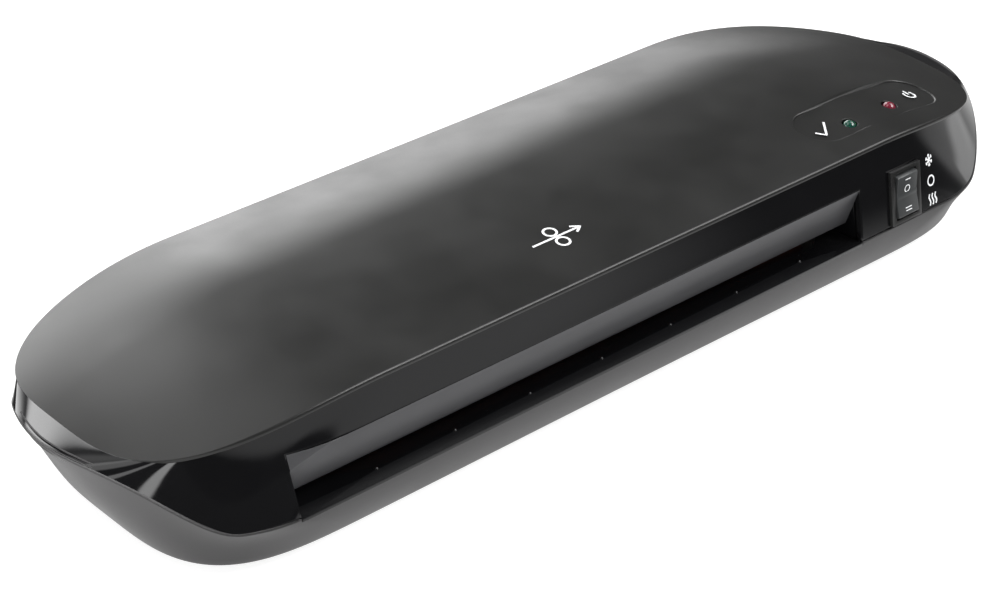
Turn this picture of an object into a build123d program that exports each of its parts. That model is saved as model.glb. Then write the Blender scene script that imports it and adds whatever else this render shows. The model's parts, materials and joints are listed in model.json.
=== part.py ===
from build123d import *
import os
from math import acos, atan2, cos, degrees, pi, radians, sin, sqrt, tan

os.makedirs("parts", exist_ok=True)

# Desktop pouch laminator. X runs along the machine (+X is the switch end), -Y is the feed side,
# Z is up and the rubber feet stand on Z = 0. Millimetres.

# ---- Case outlines: half length, front Y, back Y, corner length along X, superellipse power ----
BOTTOM = (169.4, -50.0, 49.0, 60.0, 3.7)
SEAM = (190.4, -57.0, 55.0, 50.0, 1.85)
BAND_FOOT = (189.9, -56.6, 54.6, 50.0, 1.85)
BAND_TOP = (181.5, -51.4, 55.4, 85.0, 3.0)
COVER = (180.5, -53.0, 57.0, 85.0, 3.0)
BASE_BULGE = (-1.6, -1.0, 1.0, -1.2, -0.4)

WALL = 2.2
BASE_Z = 3.0
SEAM_Z = 19.4
SEAM_END_Z = 39.2
SEAM_RISE_X = 158.0
SEAM_GAP = 0.4
END_X = 190.4
CEILING_Z = 80.0
BOTTOM_FILLET = 2.5

# ---- Dome: crest height and how it falls to the front, the back and the ends ----
CREST_Z = 56.4
CREST_Y = 8.7
FRONT_FALL = 0.0011
BACK_FALL = 0.005275
BACK_EASE = 4.2e-5
END_START_X = 105.0
END_FALL = 0.0030
END_EASE = 5.5e-6

# ---- Feed mouth and pouch path ----
MOUTH_X = (-140.8, 95.6)
MOUTH_TOP_Z = 38.1
TABLE_Z = 19.4
GUIDE_Z = 23.7
PANEL_FOOT_Y = -48.7
GUIDE_END_Y = -36.0
SHEET = 1.6
PIP_COUNT = 7
PIP_PITCH = 30.0
PIP_CENTRE_X = -19.4
PIP_Y = -51.0

# ---- Rollers and gear train ----
NIP_Z = 21.55
ROLLER_PITCH_R = 7.0
SLEEVE_R = 6.85
CORE_R = 4.0
JOURNAL_R = 2.5
BUSH_BORE_R = 2.55
ENTRY_Y = -25.0
EXIT_Y = 19.0
SLEEVE_X = (-139.0, 94.0)
LEFT_PLATE_X = -147.2
RIGHT_PLATE_X = 101.0
PLATE = 1.5
ROLLER_TEETH = 14
IDLER_TEETH = 36
PINION_TEETH = 12
MODULE = 1.0
GEAR_X = 104.0
DRIVE_X = 109.0
GEAR_WIDTH = 4.0
PINION_ANGLE = 15.0
SLIDE_HALF = 4.5

# ---- Switch, lamps, gland ----
SWITCH_X = 117.3
SWITCH_Z = 29.9
BEZEL = (14.8, 19.6, 1.3)
SWITCH_BOX = (13.0, 17.6, 17.0)
ROCKER = (10.0, 8.1)
LAMPS = {"ready_lens": (106.7, -37.9), "power_lens": (129.2, -35.8)}
LAMP_R = 2.5
LAMP_PROUD = 0.9
POCKET_DEPTH = 0.6
POCKET = ((97.0, -34.0), (144.0, -31.6), 9.4)
LAMP_BOARD_Z = 43.0
GLAND_X = 130.0
GLAND_Z = 32.0
CORD_R = 3.3

CASE_POSTS = [(x, y) for x in (-156.0, 156.0) for y in (-26.0, 26.0)]
FEET = [(x, y) for x in (-138.0, 138.0) for y in (-34.0, 33.0)]

LOWER_Z = NIP_Z - ROLLER_PITCH_R
UPPER_Z = NIP_Z + ROLLER_PITCH_R


# ---------------------------------------------------------------- helpers
def block(x, y, z):
    """Box from (low, high) pairs."""
    size = [high - low for low, high in (x, y, z)]
    centre = [(low + high) / 2 for low, high in (x, y, z)]
    return Pos(*centre) * Box(*size)


def rod(start, axis, radius, length):
    """Cylinder from a point along +X, +Y or +Z."""
    turn = {"x": Rot(0, 90, 0), "y": Rot(-90, 0, 0), "z": Rot(0, 0, 0)}[axis]
    solid = Cylinder(radius, length, align=(Align.CENTER, Align.CENTER, Align.MIN))
    return Pos(*start) * turn * solid


def plate_yz(points, x, thickness):
    """Flat plate drawn in Y and Z, standing from x towards +X."""
    face = make_face(Polyline(*[(x, y, z) for y, z in points], close=True))
    return extrude(face, amount=thickness, dir=(1, 0, 0))


def save(name, shape):
    """One STEP file per sub-part, named after the node."""
    solids = list(shape.solids())
    whole = solids[0] if len(solids) == 1 else Compound(children=solids)
    export_step(whole, f"parts/{name}.step")


def fused(pieces):
    """One solid from several that meet."""
    whole = pieces[0]
    for piece in pieces[1:]:
        whole = whole + piece
    return whole


# ---------------------------------------------------------------- case surfaces
def dome_z(x, y):
    """Height of the domed cover above the floor."""
    along = y - CREST_Y
    fall = FRONT_FALL * along**2 if along < 0 else BACK_FALL * along**2 - BACK_EASE * along**3
    out = max(0.0, abs(x) - END_START_X)
    return CREST_Z - fall - END_FALL * out**2 + END_EASE * out**3


def seam_z(x):
    """Height of the wavy parting line, level along the front and risen at the ends."""
    share = min(1.0, max(0.0, (abs(x) - SEAM_RISE_X) / (END_X - SEAM_RISE_X)))
    return SEAM_Z + (SEAM_END_Z - SEAM_Z) * share * share * (3 - 2 * share)


def inset(outline, amount):
    """The same outline moved in by an amount."""
    half, front, back, corner, power = outline
    return (half - amount, front + amount, back - amount, corner - amount, power)


def outline_wire(outline, height):
    """Closed 3D wire: straight front and back, superellipse ends, height(x, y) for Z."""
    half, front, back, corner, power = outline
    straight = half - corner
    mid, depth = (front + back) / 2, (back - front) / 2
    steps = 18

    def point(side, index):
        angle = -pi / 2 + pi * index / steps
        out = max(0.0, cos(angle)) ** (2 / power)
        across = abs(sin(angle)) ** (2 / power) * (1 if angle > 0 else -1)
        x = side * (straight + corner * out)
        y = mid + depth * across
        return (x, y, height(x, y))

    right = [point(1, i) for i in range(steps + 1)]
    left = [point(-1, i) for i in range(steps, -1, -1)]
    right_end = Spline(*right, tangents=[(1, 0, 0), (-1, 0, 0)])
    left_end = Spline(*left, tangents=[(-1, 0, 0), (1, 0, 0)])
    front_edge = Line(left[-1], right[0])
    back_edge = Line(right[-1], left[0])
    return Wire([front_edge.edge(), right_end.edge(), back_edge.edge(), left_end.edge()])


def flat(z):
    """Height function of a level section."""
    return lambda x, y: z


def stack(sections):
    """Solid ruled through (outline, height function) pairs from the bottom up."""
    return Solid.make_loft([outline_wire(o, h) for o, h in sections], ruled=True)


def under_dome(drop):
    """Everything below the dome surface lowered by a drop."""
    xs = [-210 + 12 * i for i in range(36)]
    ys = [-72 + 9 * i for i in range(17)]
    grid = [[Vector(x, y, dome_z(x, y) - drop) for y in ys] for x in xs]
    face = Face.make_surface_from_array_of_points(grid, tol=0.01)
    return Solid.extrude(face, Vector(0, 0, -90))


def above_seam(gap):
    """Everything above the parting surface raised by a gap."""
    third = (END_X - SEAM_RISE_X) / 3
    low, high = SEAM_Z + gap, SEAM_END_Z + gap
    rise, end = SEAM_RISE_X, END_X
    edges = [
        Line((-210, 0, high), (-end, 0, high)),
        Bezier((-end, 0, high), (-end + third, 0, high), (-rise - third, 0, low), (-rise, 0, low)),
        Line((-rise, 0, low), (rise, 0, low)),
        Bezier((rise, 0, low), (rise + third, 0, low), (end - third, 0, high), (end, 0, high)),
        Line((end, 0, high), (210, 0, high)),
        Line((210, 0, high), (210, 0, 120)),
        Line((210, 0, 120), (-210, 0, 120)),
        Line((-210, 0, 120), (-210, 0, high)),
    ]
    face = Face(Wire([piece.edge() for piece in edges]))
    return extrude(face, amount=90, dir=(0, 1, 0), both=True)


def face_y(z):
    """Front face of the glossy band at a height."""
    return BAND_FOOT[1] + (z - SEAM_Z) * FACE_SLOPE


FACE_SLOPE = (BAND_TOP[1] - BAND_FOOT[1]) / (dome_z(0, BAND_TOP[1]) - SEAM_Z)
SWITCH_PLANE = Plane(
    origin=(SWITCH_X, face_y(SWITCH_Z), SWITCH_Z), x_dir=(1, 0, 0), z_dir=(0, -1, FACE_SLOPE)
)


def on_switch(x, y, z):
    """Box in the switch's own frame: x across, y up the face, z outwards."""
    return SWITCH_PLANE * block(x, y, z)


# ---------------------------------------------------------------- case
def base_levels(amount, floor_z):
    """Sections of the bulging lower wall, moved in by an amount, from a floor up to the seam."""
    levels = []
    for share in (0.0, 0.25, 0.5, 0.75, 1.0):
        swell = 4 * share * (1 - share)
        outline = tuple(
            low + (high - low) * share + bulge * swell
            for low, high, bulge in zip(BOTTOM, SEAM, BASE_BULGE)
        )

        def height(x, y, share=share):
            return floor_z + (seam_z(x) + 0.3 - floor_z) * share

        levels.append((inset(outline, amount), height))
    return levels


def base_shell():
    outer = stack(base_levels(0.0, BASE_Z) + [(SEAM, flat(CEILING_Z))])
    rim = outer.faces().sort_by(Axis.Z)[0].edges()
    outer = fillet(rim, BOTTOM_FILLET)
    ceiling = (inset(SEAM, WALL), flat(CEILING_Z + 1))
    inner = stack(base_levels(WALL, BASE_Z + WALL) + [ceiling])
    shell = outer - inner - above_seam(0.0)
    for x, y in CASE_POSTS:
        shell = shell + rod((x, y, BASE_Z + 0.5), "z", 5.5, 8.5)
    for x, y in BOARD_POSTS:
        shell = shell + rod((x, y, BASE_Z + 0.5), "z", 2.5, 6.5)
    for x, y in CASE_POSTS:
        shell = shell - rod((x, y, 0), "z", 3.6, 9.0) - rod((x, y, 8), "z", 1.9, 6)
    for x, y in BOARD_POSTS:
        shell = shell - rod((x, y, 6.5), "z", 1.0, 6)
    for x, y in FRAME_SCREWS:
        shell = shell - rod((x, y, 3.8), "z", 1.3, 3)
    table_seat = block((MOUTH_X[0] - 0.1, MOUTH_X[1] + 0.1), (-62, -50), (TABLE_Z - 1.0, TABLE_Z + 2))
    exit_cut = block(MOUTH_X, (40, 62), (TABLE_Z - 0.5, GUIDE_Z + 0.4))
    shell = shell - table_seat - exit_cut
    for i in range(12):
        x = -110 + 17 * i
        shell = shell - block((x, x + 3), (-14, 10), (0, BASE_Z + WALL + 1))
    return shell


def band_outside(amount):
    """Everything inside the outer surface of the glossy band, moved in by an amount."""
    return stack([
        (inset(BAND_FOOT, amount), flat(2.0)),
        (inset(BAND_FOOT, amount), lambda x, y: seam_z(x)),
        (inset(BAND_TOP, amount), lambda x, y: dome_z(x, y) + 0.3),
        (inset(BAND_TOP, amount), flat(CEILING_Z)),
    ])


def front_band():
    outer = band_outside(0.0)
    inner = stack([
        (inset(BAND_FOOT, WALL), flat(1.0)),
        (inset(BAND_FOOT, WALL), lambda x, y: seam_z(x) - 0.6),
        (inset(BAND_TOP, WALL), lambda x, y: dome_z(x, y) - WALL - 0.6),
        (inset(BAND_TOP, WALL), flat(CEILING_Z + 1)),
    ])
    seat = extrude(make_face(outline_wire(inset(COVER, -0.25), flat(20))), amount=60)
    seat = seat - under_dome(WALL + 0.2)
    band = (outer & under_dome(0.0) & above_seam(SEAM_GAP)) - inner - seat
    mouth = block(MOUTH_X, (-62, -44), (10, MOUTH_TOP_Z))
    exit_cut = block(MOUTH_X, (40, 62), (10, GUIDE_Z + 0.4))
    window = on_switch((-6.6, 6.6), (-8.9, 8.9), (-6, 4))
    gland = rod((GLAND_X, 45, GLAND_Z), "y", 5.0, 14)
    return band - mouth - exit_cut - window - gland


def pocket_prism():
    """Stadium outline of the lamp pocket, standing up through the cover."""
    (x0, y0), (x1, y1), radius = POCKET
    turn = degrees(atan2(y1 - y0, x1 - x0))
    length = sqrt((x1 - x0) ** 2 + (y1 - y0) ** 2) + 2 * radius
    shape = SlotOverall(length, 2 * radius, rotation=turn)
    return Pos((x0 + x1) / 2, (y0 + y1) / 2, 30) * extrude(shape, amount=40)


def top_cover():
    prism = extrude(make_face(outline_wire(COVER, flat(20))), amount=60)
    under = under_dome(WALL)
    cover = (prism & under_dome(0.0)) - under
    posts = [rod((x, y, 12.1), "z", 3.5, 50) for x, y in CASE_POSTS]
    posts += [rod((x, y, LAMP_BOARD_Z + SHEET), "z", 2.5, 20) for x, y in LAMP_POSTS]
    roof = under_dome(0.5)
    for post in posts:
        cover = cover + (post & roof)
    cover = cover - (pocket_prism() - under_dome(POCKET_DEPTH))
    for x, y in CASE_POSTS:
        cover = cover - rod((x, y, 11), "z", 1.55, 10)
    for x, y in LAMPS.values():
        cover = cover - rod((x, y, LAMP_BOARD_Z + 1), "z", LAMP_R + 0.25, 20)
    return cover


def feed_table():
    profile = [
        (SEAM[1] + 0.1, TABLE_Z), (GUIDE_END_Y, TABLE_Z), (GUIDE_END_Y, TABLE_Z - 2.0),
        (-53.0, TABLE_Z - 2.0), (-53.0, TABLE_Z - 1.0), (SEAM[1] + 0.1, TABLE_Z - 1.0),
    ]
    table = plate_yz(profile, MOUTH_X[0], MOUTH_X[1] - MOUTH_X[0])
    for i in range(PIP_COUNT):
        x = PIP_CENTRE_X + PIP_PITCH * (i - (PIP_COUNT - 1) / 2)
        table = table + Pos(x, PIP_Y, TABLE_Z - 0.3) * Sphere(0.8)
    return table


def mouth_frame():
    """Sloping panel over the mouth, the upper pouch guide and the two cheeks."""
    top = MOUTH_TOP_Z - 0.1
    panel = [
        (face_y(top) + 0.1, top), (PANEL_FOOT_Y, GUIDE_Z), (GUIDE_END_Y, GUIDE_Z),
        (GUIDE_END_Y, GUIDE_Z + SHEET), (PANEL_FOOT_Y + 1.2, GUIDE_Z + SHEET),
        (face_y(top) + 3.6, top),
    ]
    width = MOUTH_X[1] - MOUTH_X[0]
    frame = plate_yz(panel, MOUTH_X[0], width) & band_outside(0.1)
    for x, behind in ((MOUTH_X[0] - 1.4, WALL + 4.4), (MOUTH_X[1], WALL + 0.9)):
        cheek = [
            (face_y(top) + behind, top), (face_y(TABLE_Z) + behind, TABLE_Z + 0.1),
            (GUIDE_END_Y, TABLE_Z + 0.1), (GUIDE_END_Y, GUIDE_Z + 3.0), (-43.0, top),
        ]
        frame = frame + plate_yz(cheek, x, 1.4)
    return frame


def exit_guide():
    """Flat duct that carries the pouch from the exit rollers to the slot in the back."""
    x = (MOUTH_X[0] - 1.4, MOUTH_X[1] + 1.4)
    outer = block(x, (29.0, 51.5), (TABLE_Z - 1.4, GUIDE_Z + 1.4))
    return outer - block(MOUTH_X, (28.0, 53.0), (TABLE_Z, GUIDE_Z))


def cord_gland():
    """Rubber bush in the back wall where the supply cord would come in."""
    y = 54.9
    gland = fused([
        rod((GLAND_X, y + 0.25, GLAND_Z), "y", 6.5, 1.6),
        rod((GLAND_X, y - 5.9, GLAND_Z), "y", 4.9, 6.9),
        rod((GLAND_X, y - 5.9, GLAND_Z), "y", 6.0, 1.8),
    ])
    return gland - rod((GLAND_X, y - 7.0, GLAND_Z), "y", CORD_R, 11)


def rubber_feet():
    return Compound(children=[rod((x, y, 0), "z", 7.0, BASE_Z) for x, y in FEET])


def screw(x, y, z, head_r, shank_r, length, head=1.8):
    """Screw driven upwards from below: head under z, shank above."""
    return rod((x, y, z - head), "z", head_r, head) + rod((x, y, z), "z", shank_r, length)


def case_screws():
    return Compound(children=[screw(x, y, 9.0, 3.2, 1.5, 11.0) for x, y in CASE_POSTS])


# ---------------------------------------------------------------- lamps and switch
LAMP_POSTS = [(99.0, -37.5), (139.0, -37.0)]
BOARD_POSTS = [(x, y) for x in (145.5, 164.5) for y in (-15.0, 15.0)]
FRAME_SCREWS = [(x, y) for x in (LEFT_PLATE_X + 6, RIGHT_PLATE_X - 4.5) for y in (-12.0, 6.0)]


def lamp(x, y):
    """Five millimetre round lamp that stands on the lamp board."""
    top = dome_z(x, y) - POCKET_DEPTH + LAMP_PROUD
    flange = rod((x, y, LAMP_BOARD_Z + SHEET), "z", LAMP_R + 0.2, 1.0)
    height = top - LAMP_R - LAMP_BOARD_Z - SHEET
    body = rod((x, y, LAMP_BOARD_Z + SHEET), "z", LAMP_R, height)
    return flange + body + Pos(x, y, top - LAMP_R) * Sphere(LAMP_R)


def lamp_board():
    return block((95.5, 142.5), (-43.5, -31.5), (LAMP_BOARD_Z, LAMP_BOARD_Z + SHEET))


def switch_body():
    """Bezel on the face and the box behind it, open at the front for the rocker."""
    wide, tall, proud = BEZEL
    box_wide, box_tall, deep = SWITCH_BOX
    bezel = on_switch((-wide / 2, wide / 2), (-tall / 2, tall / 2), (0, proud))
    box = on_switch((-box_wide / 2, box_wide / 2), (-box_tall / 2, box_tall / 2), (-deep, 0.5))
    room = on_switch((-5.25, 5.25), (-8.4, 8.4), (-9.0, 4))
    axle = SWITCH_PLANE * rod((-6.0, 0, ROCKER_PIVOT), "x", 1.25, 12.0)
    return bezel + box - room - axle


ROCKER_PIVOT = -1.5
ROCKER_VALLEY = 1.4
ROCKER_RISE = 0.14


def switch_rocker():
    """Rocker with two gently sloping halves, round ends and an axle."""
    wide, radius = ROCKER
    disc = rod((-wide / 2, 0, ROCKER_PIVOT), "x", radius, wide)
    reach = radius + 1
    crest = ROCKER_VALLEY + ROCKER_RISE * reach
    section = make_face(Polyline(
        (-wide / 2, -reach, -3.2), (-wide / 2, reach, -3.2), (-wide / 2, reach, crest),
        (-wide / 2, 0, ROCKER_VALLEY), (-wide / 2, -reach, crest), close=True,
    ))
    wedge = extrude(section, amount=wide, dir=(1, 0, 0))
    hub = rod((-wide / 2, 0, ROCKER_PIVOT), "x", 3.2, wide)
    axle = rod((-6.0, 0, ROCKER_PIVOT), "x", 1.2, 12.0)
    return SWITCH_PLANE * ((disc & wedge) + hub + axle)


def switch_tabs():
    """Three blade terminals at the back of the switch."""
    deep = SWITCH_BOX[2]
    return Compound(children=[
        on_switch((-2.4, 2.4), (y - 0.4, y + 0.4), (-deep - 6.0, -deep)) for y in (-5.5, 0.0, 5.5)
    ])


# ---------------------------------------------------------------- roller frame
def side_plate(x, inward, outline):
    """Steel side plate with bush holes, bearing slots and a foot flange."""
    plate = plate_yz(outline, x, PLATE)
    for y in (ENTRY_Y, EXIT_Y):
        plate = plate - rod((x - 1, y, LOWER_Z), "x", 4.5, PLATE + 2)
        slot_floor = UPPER_Z - SLIDE_HALF - 0.1
        plate = plate - block((x - 1, x + PLATE + 1), (y - 4.65, y + 4.65), (slot_floor, 41.0))
    for y, z in TIES:
        plate = plate - rod((x - 1, y, z), "x", 1.55, PLATE + 2)
    flange_x = (x + PLATE, x + PLATE + 8.5) if inward > 0 else (x - 8.5, x)
    flange = block(flange_x, (-18.0, 12.0), (BASE_Z + WALL, BASE_Z + WALL + PLATE))
    plate = plate + flange
    for fx, fy in FRAME_SCREWS:
        plate = plate - rod((fx, fy, 4), "z", 1.6, 4)
    return plate


TIES = [(-14.0, 38.0), (8.0, 38.0)]
PLATE_FOOT = BASE_Z + WALL
LEFT_OUTLINE = [(-33, PLATE_FOOT), (28, PLATE_FOOT), (28, 44), (-33, 44)]
RIGHT_OUTLINE = [
    (-33, PLATE_FOOT), (28, PLATE_FOOT), (48, 20), (48, 35), (20, 51), (8, 51), (-4, 44), (-29, 44),
    (-33, 40),
]


def left_frame():
    return side_plate(LEFT_PLATE_X, 1, LEFT_OUTLINE)


def right_frame():
    plate = side_plate(RIGHT_PLATE_X, -1, RIGHT_OUTLINE)
    plate = plate - rod((RIGHT_PLATE_X - 1, IDLER_Y, IDLER_Z), "x", 2.0, PLATE + 2)
    for y, z in MOTOR_POSTS:
        plate = plate - rod((RIGHT_PLATE_X - 1, y, z), "x", 1.55, PLATE + 2)
    return plate


def tie_rod(y, z):
    start = LEFT_PLATE_X + PLATE
    bar = rod((start, y, z), "x", 2.5, RIGHT_PLATE_X - start)
    left_hole = rod((start, y, z), "x", 1.55, 8)
    right_hole = rod((RIGHT_PLATE_X - 8, y, z), "x", 1.55, 8)
    return bar - left_hole - right_hole


def tie_screws():
    screws = []
    for y, z in TIES:
        outside = RIGHT_PLATE_X + PLATE
        screws.append(rod((LEFT_PLATE_X - 1.5, y, z), "x", 2.6, 1.5) + rod((LEFT_PLATE_X, y, z), "x", 1.5, 8))
        screws.append(rod((outside, y, z), "x", 2.6, 1.5) + rod((outside - 8, y, z), "x", 1.5, 8))
    return Compound(children=screws)


def frame_screws():
    """Pan head screws through the flanges into the base."""
    top = BASE_Z + WALL + PLATE
    return Compound(children=[
        rod((x, y, top), "z", 2.6, 1.4) + rod((x, y, 4.0), "z", 1.25, top - 4.0)
        for x, y in FRAME_SCREWS
    ])


def lower_bushes():
    bushes = []
    for y in (ENTRY_Y, EXIT_Y):
        for x, inside in ((LEFT_PLATE_X, 1), (RIGHT_PLATE_X, -1)):
            sleeve = rod((x - 0.5, y, LOWER_Z), "x", 4.45, PLATE + 1.0)
            flange_x = x + PLATE if inside > 0 else x - 1.0
            flange = rod((flange_x, y, LOWER_Z), "x", 5.6, 1.0)
            bushes.append(sleeve + flange - rod((x - 3, y, LOWER_Z), "x", BUSH_BORE_R, 8))
    return Compound(children=bushes)


def sliding_bushes(y):
    """Pair of square bushes that slide up the plate slots with the upper roller."""
    bushes = []
    half = SLIDE_HALF
    for x, inside in ((LEFT_PLATE_X, 1), (RIGHT_PLATE_X, -1)):
        body = block((x - 0.6, x + PLATE + 0.6), (y - half, y + half), (UPPER_Z - half, UPPER_Z + half))
        low = x + PLATE + 0.15 if inside > 0 else x - 1.15
        flange = block((low, low + 1.0), (y - 6, y + 6), (UPPER_Z - 6, UPPER_Z + 4.4))
        bushes.append(body + flange - rod((x - 3, y, UPPER_Z), "x", BUSH_BORE_R, 8))
    return Compound(children=bushes)


def pressure_spring(x, y):
    """Closed coil between the sliding bush and the top of its slot."""
    low = UPPER_Z + SLIDE_HALF + 0.5
    height = 41.0 - 0.5 - low
    helix = Pos(0, 0, low) * Helix(pitch=height / 5, height=height, radius=1.65)
    wire = Plane(helix @ 0, z_dir=helix % 0) * Circle(0.35)
    return Pos(x, y, 0) * sweep(wire, path=helix, is_frenet=True)


def pressure_springs(y):
    """The two springs that press one upper roller down, one at each end."""
    middle = (LEFT_PLATE_X + PLATE / 2, RIGHT_PLATE_X + PLATE / 2)
    return Compound(children=[pressure_spring(x, y).solids()[0] for x in middle])


def roller_core(y, z, gear_end):
    """Steel shaft: thick under the sleeve, thin at the journals."""
    left = LEFT_PLATE_X - 2.5
    middle = (SLEEVE_X[0] - 1.5, SLEEVE_X[1] + 1.5)
    return rod((left, y, z), "x", JOURNAL_R, gear_end - left) + rod(
        (middle[0], y, z), "x", CORE_R, middle[1] - middle[0]
    )


def roller_sleeve(y, z):
    length = SLEEVE_X[1] - SLEEVE_X[0]
    return rod((SLEEVE_X[0], y, z), "x", SLEEVE_R, length) - rod(
        (SLEEVE_X[0] - 1, y, z), "x", CORE_R, length + 2
    )


# ---------------------------------------------------------------- gears
IDLER_Y = (ENTRY_Y + EXIT_Y) / 2
IDLER_Z = LOWER_Z + sqrt(
    ((ROLLER_TEETH + IDLER_TEETH) * MODULE / 2) ** 2 - ((EXIT_Y - ENTRY_Y) / 2) ** 2
)
PINION_REACH = (IDLER_TEETH + PINION_TEETH) * MODULE / 2
PINION_Y = IDLER_Y + PINION_REACH * cos(radians(PINION_ANGLE))
PINION_Z = IDLER_Z + PINION_REACH * sin(radians(PINION_ANGLE))
MOTOR_YZ = (22.0, 26.0)
MOTOR_POSTS = [(44.0, 30.0), (15.0, 46.5)]
PRESSURE_ANGLE = radians(20.0)
BACKLASH = 0.26
ADDENDUM = 0.7
DEDENDUM = 1.2


def roll(radius, base):
    """Involute function of a radius above the base circle."""
    if radius <= base:
        return 0.0
    angle = acos(base / radius)
    return tan(angle) - angle


def gear(teeth, width, bore, phase):
    """Spur gear lying in Y and Z with one tooth centred on the phase angle, hub at the origin."""
    pitch_r = teeth * MODULE / 2
    base = pitch_r * cos(PRESSURE_ANGLE)
    root, tip = pitch_r - DEDENDUM * MODULE, pitch_r + ADDENDUM * MODULE
    half_tooth = (pi * MODULE / 2 - BACKLASH) / 2 / pitch_r
    radii = [root] + [max(root, base) + (tip - max(root, base)) * k / 4 for k in range(5)]
    points = []
    for tooth in range(teeth):
        centre = radians(phase) + 2 * pi * tooth / teeth
        halves = [half_tooth + roll(pitch_r, base) - roll(r, base) for r in radii]
        points += [(r * cos(centre - h), r * sin(centre - h)) for r, h in zip(radii, halves)]
        points += [
            (r * cos(centre + h), r * sin(centre + h))
            for r, h in zip(reversed(radii), reversed(halves))
        ]
    distinct = [p for i, p in enumerate(points) if abs(p[0] - points[i - 1][0]) > 1e-6]
    wheel = plate_yz(distinct, 0, width)
    return wheel - rod((-1, 0, 0), "x", bore, width + 2)


def meshing_phase(teeth, other_teeth, other_phase, direction):
    """Phase that interleaves a gear with another; direction runs from the other to it."""
    return direction + 180 - other_teeth / teeth * (other_phase - direction) - 180 / teeth


TOWARDS_IDLER = degrees(atan2(IDLER_Z - LOWER_Z, IDLER_Y - ENTRY_Y))
ENTRY_LOWER_PHASE = 0.0
ENTRY_UPPER_PHASE = meshing_phase(ROLLER_TEETH, ROLLER_TEETH, ENTRY_LOWER_PHASE, 90.0)
IDLER_PHASE = meshing_phase(IDLER_TEETH, ROLLER_TEETH, ENTRY_LOWER_PHASE, TOWARDS_IDLER)
EXIT_LOWER_PHASE = meshing_phase(ROLLER_TEETH, IDLER_TEETH, IDLER_PHASE, -TOWARDS_IDLER)
EXIT_UPPER_PHASE = meshing_phase(ROLLER_TEETH, ROLLER_TEETH, EXIT_LOWER_PHASE, 90.0)
PINION_PHASE = meshing_phase(PINION_TEETH, IDLER_TEETH, IDLER_PHASE, PINION_ANGLE)


def roller_gear(y, z, width, phase):
    return Pos(GEAR_X, y, z) * gear(ROLLER_TEETH, width, JOURNAL_R, phase)


def idler_gear():
    wheel = gear(IDLER_TEETH, GEAR_WIDTH, 2.05, IDLER_PHASE)
    for i in range(6):
        angle = 2 * pi * i / 6
        wheel = wheel - rod((-1, 10 * cos(angle), 10 * sin(angle)), "x", 3.0, GEAR_WIDTH + 2)
    return Pos(DRIVE_X, IDLER_Y, IDLER_Z) * wheel


def idler_pin():
    """Stub axle riveted in the right plate, with a shoulder and a retaining head."""
    start = RIGHT_PLATE_X
    end = DRIVE_X + GEAR_WIDTH + 0.3
    pin = rod((start, IDLER_Y, IDLER_Z), "x", 2.0, end - start)
    shoulder_x = RIGHT_PLATE_X + PLATE
    shoulder = rod((shoulder_x, IDLER_Y, IDLER_Z), "x", 3.5, DRIVE_X - 0.3 - shoulder_x)
    return pin + shoulder + rod((end, IDLER_Y, IDLER_Z), "x", 3.0, 0.8)


def motor_pinion():
    return Pos(DRIVE_X, PINION_Y, PINION_Z) * gear(PINION_TEETH, GEAR_WIDTH, 2.0, PINION_PHASE)


def motor_shaft():
    return rod((DRIVE_X - 0.2, PINION_Y, PINION_Z), "x", 2.0, 9.0)


def drive_motor():
    """Geared synchronous motor: round can with two mounting ears and an off-centre output."""
    x = DRIVE_X + 7.0
    y, z = MOTOR_YZ
    can = rod((x, y, z), "x", 18.0, 22.0) + rod((x + 22, y, z), "x", 6.0, 2.0)
    for ear_y, ear_z in MOTOR_POSTS:
        ear = rod((x, ear_y, ear_z), "x", 3.6, 1.6)
        middle_y, middle_z = (y + ear_y) / 2, (z + ear_z) / 2
        turn = degrees(atan2(ear_z - z, ear_y - y))
        reach = sqrt((ear_y - y) ** 2 + (ear_z - z) ** 2)
        web = Pos(x + 0.8, middle_y, middle_z) * Rot(turn, 0, 0) * Box(1.6, reach, 7.2)
        can = can + ear + web
    for ear_y, ear_z in MOTOR_POSTS:
        can = can - rod((x - 1, ear_y, ear_z), "x", 1.55, 4)
    return can - rod((x - 1, PINION_Y, PINION_Z), "x", 2.05, 5)


def motor_posts():
    start = RIGHT_PLATE_X + PLATE
    length = DRIVE_X + 7.0 - start
    return Compound(children=[
        rod((start, y, z), "x", 3.0, length) - rod((start - 1, y, z), "x", 1.55, length + 2)
        for y, z in MOTOR_POSTS
    ])


def motor_screws():
    """Long screws through the motor ears, the posts and the right plate, each with a nut."""
    head_x = DRIVE_X + 7.0 + 1.6
    back_x = RIGHT_PLATE_X - 2.2
    screws = []
    for y, z in MOTOR_POSTS:
        shank = rod((back_x, y, z), "x", 1.5, head_x - back_x)
        screws.append(shank + rod((head_x, y, z), "x", 2.8, 1.6) + rod((back_x, y, z), "x", 2.8, 2.2))
    return Compound(children=screws)


# ---------------------------------------------------------------- heating
HEATER_Y = (-15.5, 9.5)
HEATER_X = (LEFT_PLATE_X + PLATE, RIGHT_PLATE_X)
UPPER_PLATE_Z = (GUIDE_Z - 0.4, GUIDE_Z + 3.2)
LOWER_PLATE_Z = (TABLE_Z - 3.2, TABLE_Z + 0.4)


def heater_plate(z, lip):
    """Aluminium bar with rounded lead-in edges towards the pouch."""
    bar = block(HEATER_X, HEATER_Y, z)
    near = z[0] if lip < 0 else z[1]
    edges = bar.edges().filter_by(Axis.X).filter_by(lambda e: abs(e.center().Z - near) < 0.01)
    return fillet(edges, 1.2)


def heating_element(z):
    return block((SLEEVE_X[0] + 8, SLEEVE_X[1] - 8), (-9.0, 3.0), z)


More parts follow.
